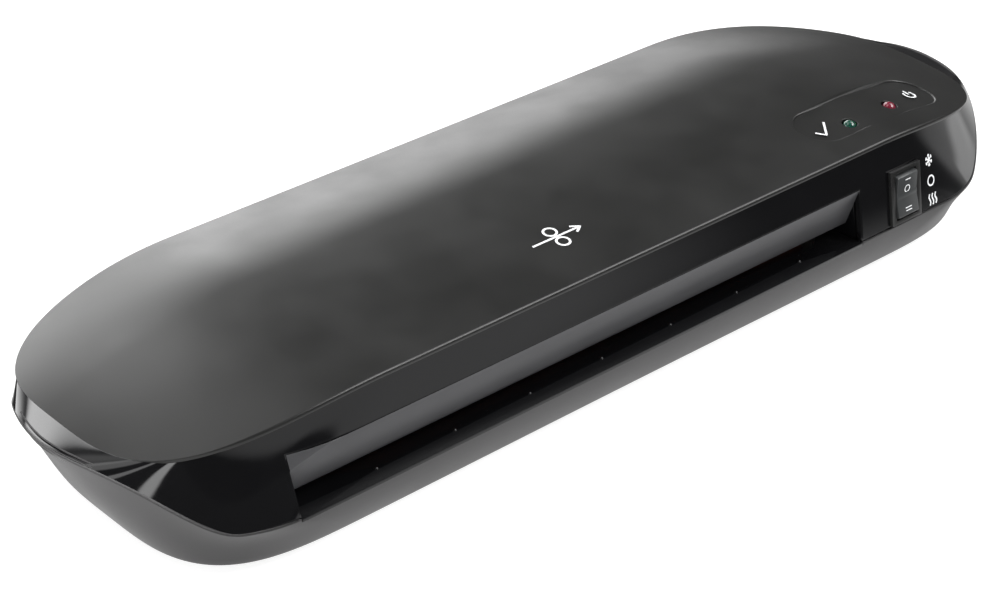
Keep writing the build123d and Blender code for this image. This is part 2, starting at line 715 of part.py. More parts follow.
def thermostat():
    """Disc thermostat clamped on the upper element."""
    z = UPPER_PLATE_Z[1] + 1.4
    can = rod((40, -3, z), "z", 6.5, 4.0) + rod((40, -3, z + 4.0), "z", 5.0, 2.0)
    return can + block((30, 33), (-6, 0), (z, z + 1.0)) + block((47, 50), (-6, 0), (z, z + 1.0)) + \
        block((32, 48), (-1.5, 1.5), (z, z + 1.0))


def thermal_fuse():
    z = UPPER_PLATE_Z[1] + 1.4 + 2.0
    return rod((-20, -3, z), "x", 2.0, 12) + rod((-30, -3, z), "x", 0.5, 32)


# ---------------------------------------------------------------- electrics
def control_board():
    board = block((142.5, 167.5), (-18.0, 18.0), (10.0, 11.6))
    for x, y in BOARD_POSTS:
        board = board - rod((x, y, 9), "z", 1.3, 4)
    return board


def board_relay():
    return block((145.5, 155.5), (-12.5, -2.0), (11.6, 22.0))


def board_capacitor():
    return rod((151.0, 6.0, 11.6), "z", 4.0, 12.0)


def terminal_block():
    body = block((158.0, 165.0), (-8.0, 8.0), (11.6, 20.0)) - block((161, 170), (-9, 9), (17.5, 21))
    for i in range(3):
        body = body - rod((160, -5 + 5 * i, 13.5), "x", 1.4, 8)
    return body


def board_screws():
    return Compound(children=[
        rod((x, y, 11.6), "z", 2.1, 1.2) + rod((x, y, 7.0), "z", 0.95, 4.6) for x, y in BOARD_POSTS
    ])


NODES = {
    "base_shell": base_shell,
    "front_band": front_band,
    "top_cover": top_cover,
    "feed_table": feed_table,
    "mouth_frame": mouth_frame,
    "exit_guide": exit_guide,
    "cord_gland": cord_gland,
    "rubber_feet": rubber_feet,
    "case_screws": case_screws,
    "lamp_board": lamp_board,
    "switch_body": switch_body,
    "switch_rocker": switch_rocker,
    "switch_tabs": switch_tabs,
    "left_frame": left_frame,
    "right_frame": right_frame,
    "tie_screws": tie_screws,
    "frame_screws": frame_screws,
    "lower_bushes": lower_bushes,
    "idler_gear": idler_gear,
    "idler_pin": idler_pin,
    "motor_pinion": motor_pinion,
    "motor_shaft": motor_shaft,
    "drive_motor": drive_motor,
    "motor_posts": motor_posts,
    "motor_screws": motor_screws,
    "thermostat": thermostat,
    "thermal_fuse": thermal_fuse,
    "control_board": control_board,
    "board_relay": board_relay,
    "board_capacitor": board_capacitor,
    "terminal_block": terminal_block,
    "board_screws": board_screws,
}

for name, make in NODES.items():
    save(name, make())

for name, (lamp_x, lamp_y) in LAMPS.items():
    save(name, lamp(lamp_x, lamp_y))

save("front_tie", tie_rod(*TIES[0]))
save("rear_tie", tie_rod(*TIES[1]))
save("upper_heater", heater_plate(UPPER_PLATE_Z, -1))
save("lower_heater", heater_plate(LOWER_PLATE_Z, 1))
save("upper_element", heating_element((UPPER_PLATE_Z[1], UPPER_PLATE_Z[1] + 1.4)))
save("lower_element", heating_element((LOWER_PLATE_Z[0] - 1.4, LOWER_PLATE_Z[0])))

UPPER_END_X = GEAR_X + GEAR_WIDTH + 0.4
LOWER_END_X = DRIVE_X + GEAR_WIDTH + 0.4
PAIRS = {
    "entry": (ENTRY_Y, ENTRY_LOWER_PHASE, ENTRY_UPPER_PHASE),
    "exit": (EXIT_Y, EXIT_LOWER_PHASE, EXIT_UPPER_PHASE),
}
for pair, (pair_y, lower_phase, upper_phase) in PAIRS.items():
    save(f"{pair}_lower_core", roller_core(pair_y, LOWER_Z, LOWER_END_X))
    save(f"{pair}_upper_core", roller_core(pair_y, UPPER_Z, UPPER_END_X))
    save(f"{pair}_lower_sleeve", roller_sleeve(pair_y, LOWER_Z))
    save(f"{pair}_upper_sleeve", roller_sleeve(pair_y, UPPER_Z))
    wide = DRIVE_X + GEAR_WIDTH - GEAR_X
    save(f"{pair}_lower_gear", roller_gear(pair_y, LOWER_Z, wide, lower_phase))
    save(f"{pair}_upper_gear", roller_gear(pair_y, UPPER_Z, GEAR_WIDTH, upper_phase))
    save(f"{pair}_upper_bushes", sliding_bushes(pair_y))
    save(f"{pair}_springs", pressure_springs(pair_y))
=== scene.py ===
import json
import math

import bmesh
import bpy
import numpy as np
from mathutils import Matrix, Vector
from mathutils.geometry import delaunay_2d_cdt

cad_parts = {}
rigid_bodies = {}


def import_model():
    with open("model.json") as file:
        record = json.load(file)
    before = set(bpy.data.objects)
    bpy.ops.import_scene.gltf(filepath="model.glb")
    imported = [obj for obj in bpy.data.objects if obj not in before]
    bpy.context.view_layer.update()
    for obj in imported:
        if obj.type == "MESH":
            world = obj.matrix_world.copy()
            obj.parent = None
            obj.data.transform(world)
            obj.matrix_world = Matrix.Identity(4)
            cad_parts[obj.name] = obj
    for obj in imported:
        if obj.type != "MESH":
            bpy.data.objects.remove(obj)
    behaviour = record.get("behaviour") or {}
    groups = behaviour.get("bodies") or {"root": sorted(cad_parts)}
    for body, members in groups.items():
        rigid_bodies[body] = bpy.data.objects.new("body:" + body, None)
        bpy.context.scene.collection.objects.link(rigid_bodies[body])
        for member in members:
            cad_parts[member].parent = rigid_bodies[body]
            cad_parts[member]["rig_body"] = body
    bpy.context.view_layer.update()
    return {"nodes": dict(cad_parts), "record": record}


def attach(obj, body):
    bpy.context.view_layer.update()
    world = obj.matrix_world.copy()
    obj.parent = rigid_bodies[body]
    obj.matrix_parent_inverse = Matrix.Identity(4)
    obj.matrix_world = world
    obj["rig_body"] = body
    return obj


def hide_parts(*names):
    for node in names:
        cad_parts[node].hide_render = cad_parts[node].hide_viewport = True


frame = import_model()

# Looks of the pouch laminator. The case is worked out in millimetres, the studio in metres.
NODES = frame["nodes"]
SLOT_OF = {p["node"]: p["material_slot"] for p in frame["record"]["subparts"]}
MM = 0.001

# ------------------------------------------------------------------ camera
AZIMUTH = math.radians(41.5)
ELEVATION = math.radians(31.0)
CAMERA_AT = (-0.48482, -0.52965, 0.44295)
LENS = 91.55
SENSOR = 36.0
NEAREST = 0.01


def make_camera():
    """Long lens from the front left, looking down on the machine."""
    sa, ca = math.sin(AZIMUTH), math.cos(AZIMUTH)
    se, ce = math.sin(ELEVATION), math.cos(ELEVATION)
    right = Vector((ca, -sa, 0))
    back = Vector((-sa * ce, -ca * ce, se))
    up = back.cross(right)
    data = bpy.data.cameras.new("camera")
    data.lens = LENS
    data.sensor_width = SENSOR
    data.clip_start = NEAREST
    camera = bpy.data.objects.new("camera", data)
    bpy.context.scene.collection.objects.link(camera)
    turn = Matrix((right, up, back)).transposed().to_4x4()
    camera.matrix_world = Matrix.Translation(CAMERA_AT) @ turn
    bpy.context.scene.camera = camera


make_camera()

# ------------------------------------------------------------------ case outlines, in millimetres
# half length, front Y, back Y, length of each rounded end, superellipse power
BOTTOM = (169.4, -50.0, 49.0, 60.0, 3.7)
SEAM = (190.4, -57.0, 55.0, 50.0, 1.85)
BAND_FOOT = (189.9, -56.6, 54.6, 50.0, 1.85)
BAND_TOP = (181.5, -51.4, 55.4, 85.0, 3.0)
COVER = (180.5, -53.0, 57.0, 85.0, 3.0)
# what the same five change by halfway up the base
BASE_BULGE = (-1.6, -1.0, 1.0, -1.2, -0.4)
WALL = 2.2
FLOOR_Z = 3.0

# the dome: its crest, how it falls to the front and the back, and where its ends begin to drop
CREST_Z = 56.4
CREST_Y = 8.7
FRONT_FALL = 0.0011
BACK_FALL, BACK_EASE = 0.005275, 4.2e-5
END_START_X = 105.0
END_FALL, END_EASE = 0.0030, 5.5e-6

# the parting line: level along the middle, rising towards both ends
SEAM_Z, SEAM_LIFT = 19.4, 19.8
SEAM_RISE_X, SEAM_END_X = 158.0, 190.4
SEAM_GAP = 0.4

# the feed mouth in front and the exit slot behind, which are equally wide
MOUTH_X = (-140.8, 95.6)
MOUTH_TOP_Z = 38.1
TABLE_Z = 19.4
TABLE_SEAT_Z = 18.4
OPENING_FOOT_Z = 19.8
SLOT_TOP_Z = 24.1
SLOT_SEAT_Z = 18.9

# the lamp pocket as the ends of a slot and its radius, the lamps, the switch and the cord gland
POCKET = ((97.0, -34.0), (144.0, -31.6), 9.4)
POCKET_DEPTH = 0.6
LAMPS = {"ready_lens": (106.7, -37.9), "power_lens": (129.2, -35.8)}
LAMP_HOLE_R = 2.75
SWITCH = (117.3, -54.947, 29.9)
WINDOW_X, WINDOW_Z = (110.7, 123.9), (21.3, 38.6)
# the face round the switch: how far it leans back for each millimetre up, and the lean's cosine
FACE_SLOPE, FACE_UPRIGHT = 0.1575, 0.988
GLAND_X, GLAND_Z = 130.0, 32.0
GLAND_HOLE_R = 5.1


def dome_z(x, y):
    """Height of the domed cover."""
    along = y - CREST_Y
    back = BACK_FALL * along**2 - BACK_EASE * along**3
    fall = np.where(along < 0, FRONT_FALL * along**2, back)
    out = np.maximum(0.0, np.abs(x) - END_START_X)
    return CREST_Z - fall - END_FALL * out**2 + END_EASE * out**3


def seam_z(x):
    """Height of the wavy parting line."""
    share = np.clip((np.abs(x) - SEAM_RISE_X) / (SEAM_END_X - SEAM_RISE_X), 0, 1)
    return SEAM_Z + SEAM_LIFT * share * share * (3 - 2 * share)


def unit(v):
    """Vectors scaled to length one."""
    return v / np.maximum(np.linalg.norm(v, axis=-1, keepdims=True), 1e-12)


# points along each straight side and round each end of an outline, and to measure an end with
LINE, END = 150, 150
FINE = 6001


def end_arc(outline, side):
    """Points of one rounded end from front to back, evenly spaced."""
    half, front, back, corner, power = outline
    theta = np.linspace(-math.pi / 2, math.pi / 2, FINE)
    out = np.abs(np.cos(theta)) ** (2 / power)
    across = np.sign(theta) * np.abs(np.sin(theta)) ** (2 / power)
    x = side * (half - corner + corner * out)
    y = (front + back) / 2 + (back - front) / 2 * across
    s = np.concatenate([[0], np.cumsum(np.hypot(np.diff(x), np.diff(y)))])
    at = np.linspace(0, s[-1], END + 1)
    return np.interp(at, s, x), np.interp(at, s, y)


def ring(outline):
    """Closed plan outline from the middle of the back, round the left end and the front."""
    half, front, back, corner, _ = outline
    straight = half - corner
    lx, ly = end_arc(outline, -1)
    rx, ry = end_arc(outline, 1)
    half_line = LINE // 2
    xs = np.concatenate([
        np.linspace(0, -straight, half_line + 1)[:-1], lx[::-1][:-1],
        np.linspace(-straight, straight, LINE + 1)[:-1], rx[:-1],
        np.linspace(straight, 0, half_line + 1),
    ])
    ys = np.concatenate([
        np.full(half_line, back), ly[::-1][:-1],
        np.full(LINE, front), ry[:-1],
        np.full(half_line + 1, back),
    ])
    return xs, ys


# how Wall.find searches: its rounds, and its probing distance
FIND_ROUNDS = 12
PROBE = 0.5


class Wall:
    """Surface ruled between stacked outlines: u is millimetres round, v millimetres up."""

    def __init__(self, levels, heights):
        self.rows = []
        for outline, height in levels:
            x, y = ring(outline)
            self.rows.append(np.stack([x, y, height(x, y)], 1))
        mid = (self.rows[0] + self.rows[-1]) / 2
        steps = np.linalg.norm(np.diff(mid[:, :2], axis=0), axis=1)
        self.u = np.concatenate([[0], np.cumsum(steps)])
        self.length = self.u[-1]
        self.v = np.array(heights)

    def at(self, u, v):
        """Point at u and v, which may be arrays."""
        u, v = np.broadcast_arrays(np.mod(u, self.length), np.asarray(v, float))
        rows = [np.stack([np.interp(u, self.u, row[:, k]) for k in range(3)], -1) for row in self.rows]
        out = rows[0]
        for i in range(1, len(rows)):
            share = np.clip((v - self.v[i - 1]) / (self.v[i] - self.v[i - 1]), 0, 1)[..., None]
            out = out + (rows[i] - rows[i - 1]) * share
        return out

    def find(self, x, z, front):
        """(u, v) of the point with this x and z on the front or the back."""
        x, z = np.broadcast_arrays(np.asarray(x, float), np.asarray(z, float))
        mid = (self.rows[0] + self.rows[-1]) / 2
        side = mid[:, 1] < 0 if front else mid[:, 1] > 0
        if front:
            u = np.interp(x, mid[side, 0], self.u[side])
        else:
            wrapped = np.where(self.u > self.length / 2, self.u - self.length, self.u)[side]
            order = np.argsort(-mid[side, 0])
            u = np.interp(-x, -mid[side, 0][order], wrapped[order])
        v = np.full_like(u, self.v.mean())
        for _ in range(FIND_ROUNDS):
            p = self.at(u, v)
            step = np.where(v > self.v.mean(), -PROBE, PROBE)
            du = (self.at(u + PROBE, v) - p) / PROBE
            dv = (self.at(u, v + step) - p) / step[..., None]
            a, b, c, d = du[..., 0], dv[..., 0], du[..., 2], dv[..., 2]
            ex, ez = x - p[..., 0], z - p[..., 2]
            det = a * d - b * c
            u = u + (d * ex - b * ez) / det
            v = np.clip(v + (a * ez - c * ex) / det, self.v[0], self.v[-1])
        return np.stack([u, v], -1)


NORMAL_STEP = 0.6


def normals_of(fn, uv, low=None, high=None):
    """Surface normals by differences, which point out of the case."""
    u, v = uv[:, 0], uv[:, 1]
    v0 = v - NORMAL_STEP if low is None else np.maximum(v - NORMAL_STEP, low)
    v1 = v + NORMAL_STEP if high is None else np.minimum(v + NORMAL_STEP, high)
    along = fn(u + NORMAL_STEP, v) - fn(u - NORMAL_STEP, v)
    up = fn(u, v1) - fn(u, v0)
    return unit(np.cross(along, up))


# ------------------------------------------------------------------ mesh building
# corners are welded to steps of 1 / 2000 mm
WELD_PER_MM = 2000
# the longest mitre of an offset corner, as the least value of its divisor
MITRE_LIMIT = 0.25
# edge points are looked up in cells of 4 mm; grid points stay this share of a step clear of them
CELL = 4
CLEAR = 0.45
# steps of a rounded edge, how deep a groove starts and ends, and where an undercut starts
ROUND_STEPS = 4
GROOVE_START, GROOVE_LEVEL = 0.05, 0.8
UNDERCUT_LEVEL = 0.55
# the longest segment of a chain on a wall
CHAIN_STEP = 1.6


class Shell:
    """Collects faces with their own corner normals and welds their corners."""

    def __init__(self):
        self.points, self.index, self.faces, self.normals = [], {}, [], []

    def vertex(self, p):
        """Number of the point here, which is added if it's new."""
        key = tuple(round(c * WELD_PER_MM) for c in p)
        if key not in self.index:
            self.index[key] = len(self.points)
            self.points.append(tuple(c * MM for c in p))
        return self.index[key]

    def face(self, corners, normals):
        """One face; corners that fall together are joined, and a face that folds up is dropped."""
        ids = [self.vertex(p) for p in corners]
        keep = [i for i in range(len(ids)) if ids[i] != ids[i - 1]]
        if len(keep) < 3 or len({ids[i] for i in keep}) < len(keep):
            return
        self.faces.append([ids[i] for i in keep])
        self.normals += [tuple(normals[i]) for i in keep]

    def triangles(self, points, normals, triangles, flip=False):
        """Triangles given by point numbers; flipped ones face the other way."""
        for t in triangles:
            t = t[::-1] if flip else t
            sign = -1 if flip else 1
            self.face([points[i] for i in t], [normals[i] * sign for i in t])

    def strip(self, rows, normals, closed=False):
        """Quads between rows of points; the first row is on the left when seen from outside."""
        for a, b, na, nb in zip(rows[:-1], rows[1:], normals[:-1], normals[1:]):
            count = len(a) if closed else len(a) - 1
            for i in range(count):
                j = (i + 1) % len(a)
                self.face([a[i], b[i], b[j], a[j]], [na[i], nb[i], nb[j], na[j]])

    def build(self, name):
        """The finished object, linked to the scene."""
        mesh = bpy.data.meshes.new(name)
        mesh.from_pydata(self.points, [], self.faces)
        mesh.polygons.foreach_set("use_smooth", [True] * len(mesh.polygons))
        mesh.normals_split_custom_set(self.normals)
        mesh.update()
        thing = bpy.data.objects.new(name, mesh)
        bpy.context.scene.collection.objects.link(thing)
        return thing


def offset(chain, amount, closed):
    """A chain in the plane moved to its left by an amount, corners mitred."""
    edges = np.diff(np.vstack([chain, chain[:1]]) if closed else chain, axis=0)
    left = unit(np.stack([-edges[:, 1], edges[:, 0]], 1))
    if closed:
        before, after = np.roll(left, 1, axis=0), left
    else:
        before, after = np.vstack([left[:1], left]), np.vstack([left, left[-1:]])
    both = before + after
    scale = 1 + (before * after).sum(1, keepdims=True)
    return chain + amount * both / np.maximum(scale, MITRE_LIMIT)


def inside(points, polygon):
    """Which points lie inside a closed polygon."""
    x, y = points[:, 0][:, None], points[:, 1][:, None]
    x0, y0 = polygon[:, 0], polygon[:, 1]
    x1, y1 = np.roll(x0, -1), np.roll(y0, -1)
    hit = ((y0 > y) != (y1 > y)) & (x < (x1 - x0) * (y - y0) / (y1 - y0 + 1e-12) + x0)
    return hit.sum(1) % 2 == 1


def region(outer, holes, step):
    """Triangles that fill a polygon with holes, with a grid of points inside."""
    loops = [outer, *holes]
    low, high = outer.min(0) + step / 2, outer.max(0)
    gx, gy = np.meshgrid(np.arange(low[0], high[0], step), np.arange(low[1], high[1], step))
    grid = np.stack([gx.ravel(), gy.ravel()], 1)
    grid = grid[inside(grid, outer)]
    for hole in holes:
        grid = grid[~inside(grid, hole)]
    rim = np.vstack(loops)
    cells = {}
    for i, p in enumerate(rim):
        cells.setdefault((int(p[0] // CELL), int(p[1] // CELL)), []).append(i)
    kept = []
    for p in grid:
        a, b = int(p[0] // CELL), int(p[1] // CELL)
        near = [i for da in (-1, 0, 1) for db in (-1, 0, 1) for i in cells.get((a + da, b + db), [])]
        if not near or np.min(np.hypot(*(rim[near] - p).T)) > CLEAR * step:
            kept.append(p)
    points = np.vstack([rim, np.array(kept).reshape(-1, 2)])
    edges, start = [], 0
    for loop in loops:
        count = len(loop)
        edges += [(start + i, start + (i + 1) % count) for i in range(count)]
        start += count
    made = delaunay_2d_cdt([Vector(p) for p in points], edges, [], 0, 1e-7)
    origin = [ids[0] if ids else -1 for ids in made[3]]
    triangles = np.array([[origin[i] for i in f] for f in made[2] if all(origin[i] >= 0 for i in f)])
    middle = points[triangles].mean(1)
    keep = inside(middle, outer)
    for hole in holes:
        keep &= ~inside(middle, hole)
    triangles = triangles[keep]
    a, b, c = (points[triangles[:, k]] for k in range(3))
    turn = (b[:, 0] - a[:, 0]) * (c[:, 1] - a[:, 1]) - (b[:, 1] - a[:, 1]) * (c[:, 0] - a[:, 0])
    triangles[turn < 0] = triangles[turn < 0][:, ::-1]
    return points, triangles[np.abs(turn) > 1e-9]


def rounded_edge(shell, fn, normal, chain, inner_chain, depth, closed, groove=0, undercut=0, last=None):
    """Quarter round from the surface over its edge, then down to a depth; returns the last points.

    A groove is cut just behind the round. An undercut sets back the lower part of the wall. The last
    row of points may be given."""
    start, edge = fn(*inner_chain.T), fn(*chain.T)
    up = normal(inner_chain)
    out = edge - start
    out = out - up * (out * up).sum(1, keepdims=True)
    radius = np.linalg.norm(out, axis=1, keepdims=True)
    out = unit(out)
    rows, normals = [], []
    for k in range(ROUND_STEPS + 1):
        angle = math.pi / 2 * k / ROUND_STEPS
        rows.append(start + out * radius * math.sin(angle) - up * radius * (1 - math.cos(angle)))
        normals.append(up * math.cos(angle) + out * math.sin(angle))
    if groove:
        near, far = radius - groove, depth * GROOVE_LEVEL
        for reach, level in ((near, radius + GROOVE_START), (near, far), (radius, far)):
            rows.append(start + out * reach - up * level)
            normals.append(out)
    if undercut:
        rows.append(start + out * radius - up * depth * UNDERCUT_LEVEL)
        normals.append(out)
        rows.append(start + out * (radius - undercut) - up * depth * UNDERCUT_LEVEL)
        normals.append(-up)
    rows.append(start + out * (radius - undercut) - up * depth if last is None else last)
    normals.append(out)
    shell.strip(rows, normals, closed)
    return rows[-1]


def circle(x, y, radius, count=48):
    """Points round a circle, clockwise."""
    angle = -np.linspace(0, 2 * math.pi, count + 1)[:-1]
    return np.stack([x + radius * np.cos(angle), y + radius * np.sin(angle)], 1)


def stadium(ends, radius, count=28):
    """Points round a slot with rounded ends, clockwise."""
    (x0, y0), (x1, y1) = ends
    tilt = math.atan2(y1 - y0, x1 - x0)
    a = tilt - math.pi / 2 - np.linspace(0, math.pi, count)
    b = tilt + math.pi / 2 - np.linspace(0, math.pi, count)
    left = np.stack([x0 + radius * np.cos(a), y0 + radius * np.sin(a)], 1)
    right = np.stack([x1 + radius * np.cos(b), y1 + radius * np.sin(b)], 1)
    return np.vstack([left, right])


def dense(chain, step, closed=False):
    """The chain with extra points, so that no segment is longer than a step."""
    ends = np.vstack([chain, chain[:1]]) if closed else chain
    out = []
    for a, b in zip(ends[:-1], ends[1:]):
        count = max(1, int(math.ceil(np.linalg.norm(b - a) / step)))
        out += [a + (b - a) * i / count for i in range(count)]
    if not closed:
        out.append(ends[-1])
    return np.array(out)


# ------------------------------------------------------------------ top cover
def on_dome(drop=0.0):
    """Function that lays plan points on the dome, or some way below it."""
    def fn(x, y):
        return np.stack([x, y, dome_z(x, y) - drop], -1)
    return fn


def dome_normal(uv):
    """Normals of the cover at plan points."""
    return normals_of(on_dome(), uv)


# the visible cover reaches a little further out, so that no gap shows above the band's ends
END_CLOSER = 1.4
LIP_ROUND = 0.9
LIP_UNDERCUT = 0.7
# the lip gets sharper over this length up to this X, down to this share of its round
LIP_FADE, LIP_FADE_X, LIP_LEAST = 30, 172, 0.35
POCKET_ROUND = 0.6
LAMP_ROUND = 0.2
COVER_GRID, POCKET_GRID, UNDER_GRID = 2.6, 1.2, 5.0


def make_cover():
    """Domed cover with its rounded lip, the sunk pocket and the two lamp holes."""
    shell = Shell()
    x, y = ring((COVER[0] + END_CLOSER, *COVER[1:]))
    edge = np.stack([x, y], 1)[:-1]
    fade = np.clip((LIP_FADE_X - np.abs(edge[:, 0])) / LIP_FADE, LIP_LEAST, 1)[:, None]
    lip = edge + (offset(edge, LIP_ROUND, True) - edge) * fade
    pocket = stadium(POCKET[:2], POCKET[2])
    pocket_lip = offset(pocket, POCKET_ROUND, True)
    points, triangles = region(lip, [pocket_lip], COVER_GRID)
    shell.triangles(on_dome()(*points.T), dome_normal(points), triangles)
    under_rim = rounded_edge(shell, on_dome(), dome_normal, edge, lip, WALL, True, undercut=LIP_UNDERCUT)
    under_edge = rounded_edge(shell, on_dome(), dome_normal, pocket, pocket_lip, POCKET_DEPTH, True)
    holes = [circle(px, py, LAMP_HOLE_R) for px, py in LAMPS.values()]
    lips = [offset(hole, LAMP_ROUND, True) for hole in holes]
    floor_points, floor_triangles = region(pocket[::-1], lips, POCKET_GRID)
    sunk = on_dome(POCKET_DEPTH)(*floor_points.T)
    sunk[:len(pocket)] = under_edge[::-1]
    shell.triangles(sunk, dome_normal(floor_points), floor_triangles)
    for hole, hole_lip in zip(holes, lips):
        rounded_edge(shell, on_dome(POCKET_DEPTH), dome_normal, hole, hole_lip, WALL - POCKET_DEPTH, True)
    back_points, back_triangles = region(edge, holes, UNDER_GRID)
    inner = on_dome()(*back_points.T) - dome_normal(back_points) * WALL
    inner[:len(edge)] = under_rim
    shell.triangles(inner, dome_normal(back_points), back_triangles, flip=True)
    return shell.build("cover_skin")


# ------------------------------------------------------------------ glossy band
# v of the band's top edge, how far that lies below the dome, and the round of its edges
BAND_HEIGHT = 31.0
BAND_DROP = 0.15
BAND_ROUND = 0.4
BAND_GRID = 2.0
BAND = Wall(
    [(BAND_FOOT, lambda x, y: seam_z(x) + SEAM_GAP), (BAND_TOP, lambda x, y: dome_z(x, y) - BAND_DROP)],
    [0.0, BAND_HEIGHT],
)


def band_normal(uv):
    """Normals of the band at u and v."""
    return normals_of(BAND.at, uv, low=0.0, high=BAND_HEIGHT)


def chain_xz(wall, points, front):
    """A chain given in x and z on the front or back of a wall, in its own u and v."""
    points = dense(np.array(points, float), CHAIN_STEP)
    return wall.find(points[:, 0], points[:, 1], front)


def walk(u0, u1, v):
    """A level chain from one u to another."""
    count = max(2, int(abs(u1 - u0) / CHAIN_STEP))
    return np.stack([np.linspace(u0, u1, count + 1), np.full(count + 1, v)], 1)


# the band's inner rim lies this far down, so that it stays under the dome
RIM_SINK = 3.0
# points up the join where u starts again, at the middle of the back, and round the gland's hole
JOIN = 12
GLAND_POINTS = 40


def slot_halves(wall, open_z, closed_z):
    """The exit slot's outline in two halves, which meet at u = 0 in the middle of the back."""
    left = chain_xz(wall, [(0, closed_z), (MOUTH_X[0], closed_z), (MOUTH_X[0], open_z)], False)
    right = chain_xz(wall, [(MOUTH_X[1], open_z), (MOUTH_X[1], closed_z), (0, closed_z)], False)
    right[:, 0] = np.where(right[:, 0] < 1e-3, right[:, 0] + wall.length, right[:, 0])
    # the small push keeps a u just below zero from wrapping round
    left[:, 0] = np.mod(left[:, 0] + 1e-6, wall.length)
    left[0, 0] = 0.0
    right[-1, 0] = wall.length
    return left, right


def all_round(slot_left, front, slot_right, v):
    """The edge all round a wall: half the slot, the left end, the front, the right end, the rest."""
    slot_left[-1, 1] = slot_right[0, 1] = front[0, 1] = front[-1, 1] = v
    left_end = walk(slot_left[-1, 0], front[0, 0], v)[1:-1]
    right_end = walk(front[-1, 0], slot_right[0, 0], v)[1:-1]
    return np.vstack([slot_left, left_end, front, right_end, slot_right])


def band_shell(foot, holes):
    """Closed shell of the band between its foot, with mouth and slot, and its top edge."""
    shell = Shell()
    foot_in = offset(foot, BAND_ROUND, False)
    top = walk(0, BAND.length, BAND_HEIGHT)
    top_in = top - np.array([0, BAND_ROUND])
    hole_ins = [offset(hole, BAND_ROUND, True) for hole in holes]
    join_v = np.linspace(foot_in[0, 1], top_in[0, 1], JOIN + 2)[1:-1]
    right = np.stack([np.full(JOIN, BAND.length), join_v], 1)
    left = np.stack([np.zeros(JOIN), join_v[::-1]], 1)
    outer_chain = np.vstack([foot_in, right, top_in[::-1], left])
    points, triangles = region(outer_chain, hole_ins, BAND_GRID)
    at = band_normal(points)
    shell.triangles(BAND.at(*points.T), at, triangles)
    sunk = top[::-1] - np.array([0, RIM_SINK])
    rim = BAND.at(*sunk.T) - band_normal(sunk) * WALL
    rounded_edge(shell, BAND.at, band_normal, foot, foot_in, WALL, False)
    rounded_edge(shell, BAND.at, band_normal, top[::-1], top_in[::-1], WALL, False, last=rim)
    for hole, hole_in in zip(holes, hole_ins):
        rounded_edge(shell, BAND.at, band_normal, hole, hole_in, WALL, True)
    # the inner face has the same triangles, with its edges where the rounded edges end
    grid = points[len(outer_chain) + sum(map(len, holes)):]
    inner_uv = np.vstack([foot, right, top[::-1], left, *holes, grid])
    inner = BAND.at(*inner_uv.T) - at * WALL
    rim_start = len(foot) + JOIN
    inner[rim_start:rim_start + len(rim)] = rim
    shell.triangles(inner, at, triangles, flip=True)
    return shell.build("band_skin")


def make_band():
    """Glossy band with the feed mouth, the switch's window, the exit slot and the gland's hole."""
    slot_left, slot_right = slot_halves(BAND, OPENING_FOOT_Z, SLOT_TOP_Z)
    left_x, right_x = MOUTH_X
    foot_z, top_z = OPENING_FOOT_Z, MOUTH_TOP_Z
    corners = [(left_x, foot_z), (left_x, top_z), (right_x, top_z), (right_x, foot_z)]
    mouth = chain_xz(BAND, corners, True)
    for chain in (slot_left, mouth, slot_right):
        chain[:, 1] = np.maximum(chain[:, 1], 0)
    foot = all_round(slot_left, mouth, slot_right, 0.0)
    angle = np.linspace(0, 2 * math.pi, GLAND_POINTS + 1)[:-1]
    gland_x, gland_z = GLAND_X + GLAND_HOLE_R * np.cos(angle), GLAND_Z + GLAND_HOLE_R * np.sin(angle)
    gland = BAND.find(gland_x, gland_z, False)
    gland[:, 0] = np.mod(gland[:, 0], BAND.length)
    (x0, x1), (z0, z1) = WINDOW_X, WINDOW_Z
    window = dense(np.array([(x0, z0), (x0, z1), (x1, z1), (x1, z0)]), CHAIN_STEP, True)
    return band_shell(foot, [BAND.find(*window.T, True), gland])


# ------------------------------------------------------------------ base
# v of the base's top edge and of its rounded bottom edge, whose radius eases out up to EASE_V
BASE_TOP = 17.0
BASE_ROUND_V = 3.0
BOTTOM_ROUND = 1.9
EASE_V = 6.0


class BaseWall(Wall):
    """Bulging lower wall with a rounded bottom edge: v below zero is the round."""

    def at(self, u, v):
        """Point at u and v, which may be arrays."""
        v = np.asarray(v, float)
        wall = super().at(u, np.maximum(v, 0.0))
        bottom, above = super().at(u, 0.0), super().at(u, 1.0)
        along = super().at(np.asarray(u) + PROBE, 0.0) - super().at(np.asarray(u) - PROBE, 0.0)
        inward = unit(np.stack([-along[..., 1], along[..., 0], np.zeros_like(along[..., 0])], -1))
        rise = unit(above - bottom)
        share = np.clip(-v / BASE_ROUND_V, 0, 1)[..., None]
        start, end = bottom + rise * BOTTOM_ROUND, bottom + inward * BOTTOM_ROUND
        bend = (1 - share) ** 2 * start + 2 * share * (1 - share) * bottom + share**2 * end
        ease = np.clip(v / EASE_V, 0, 1)[..., None]
        lifted = wall + rise * BOTTOM_ROUND * (1 - ease) ** 2
        return np.where((v < 0)[..., None], bend, lifted)


def base_level(share):
    """Outline and height of the lower wall part of the way up."""
    swell = 4 * share * (1 - share)
    outline = tuple(a + (b - a) * share + c * swell for a, b, c in zip(BOTTOM, SEAM, BASE_BULGE))
    return outline, lambda x, y: FLOOR_Z + (seam_z(x) - FLOOR_Z) * share


BASE_STEPS = 12
BASE = BaseWall(
    [base_level(k / BASE_STEPS) for k in range(BASE_STEPS + 1)],
    [BASE_TOP * k / BASE_STEPS for k in range(BASE_STEPS + 1)],
)


def base_normal(uv):
    """Normals of the base's wall at u and v."""
    return normals_of(BASE.at, uv, low=-BASE_ROUND_V, high=BASE_TOP)


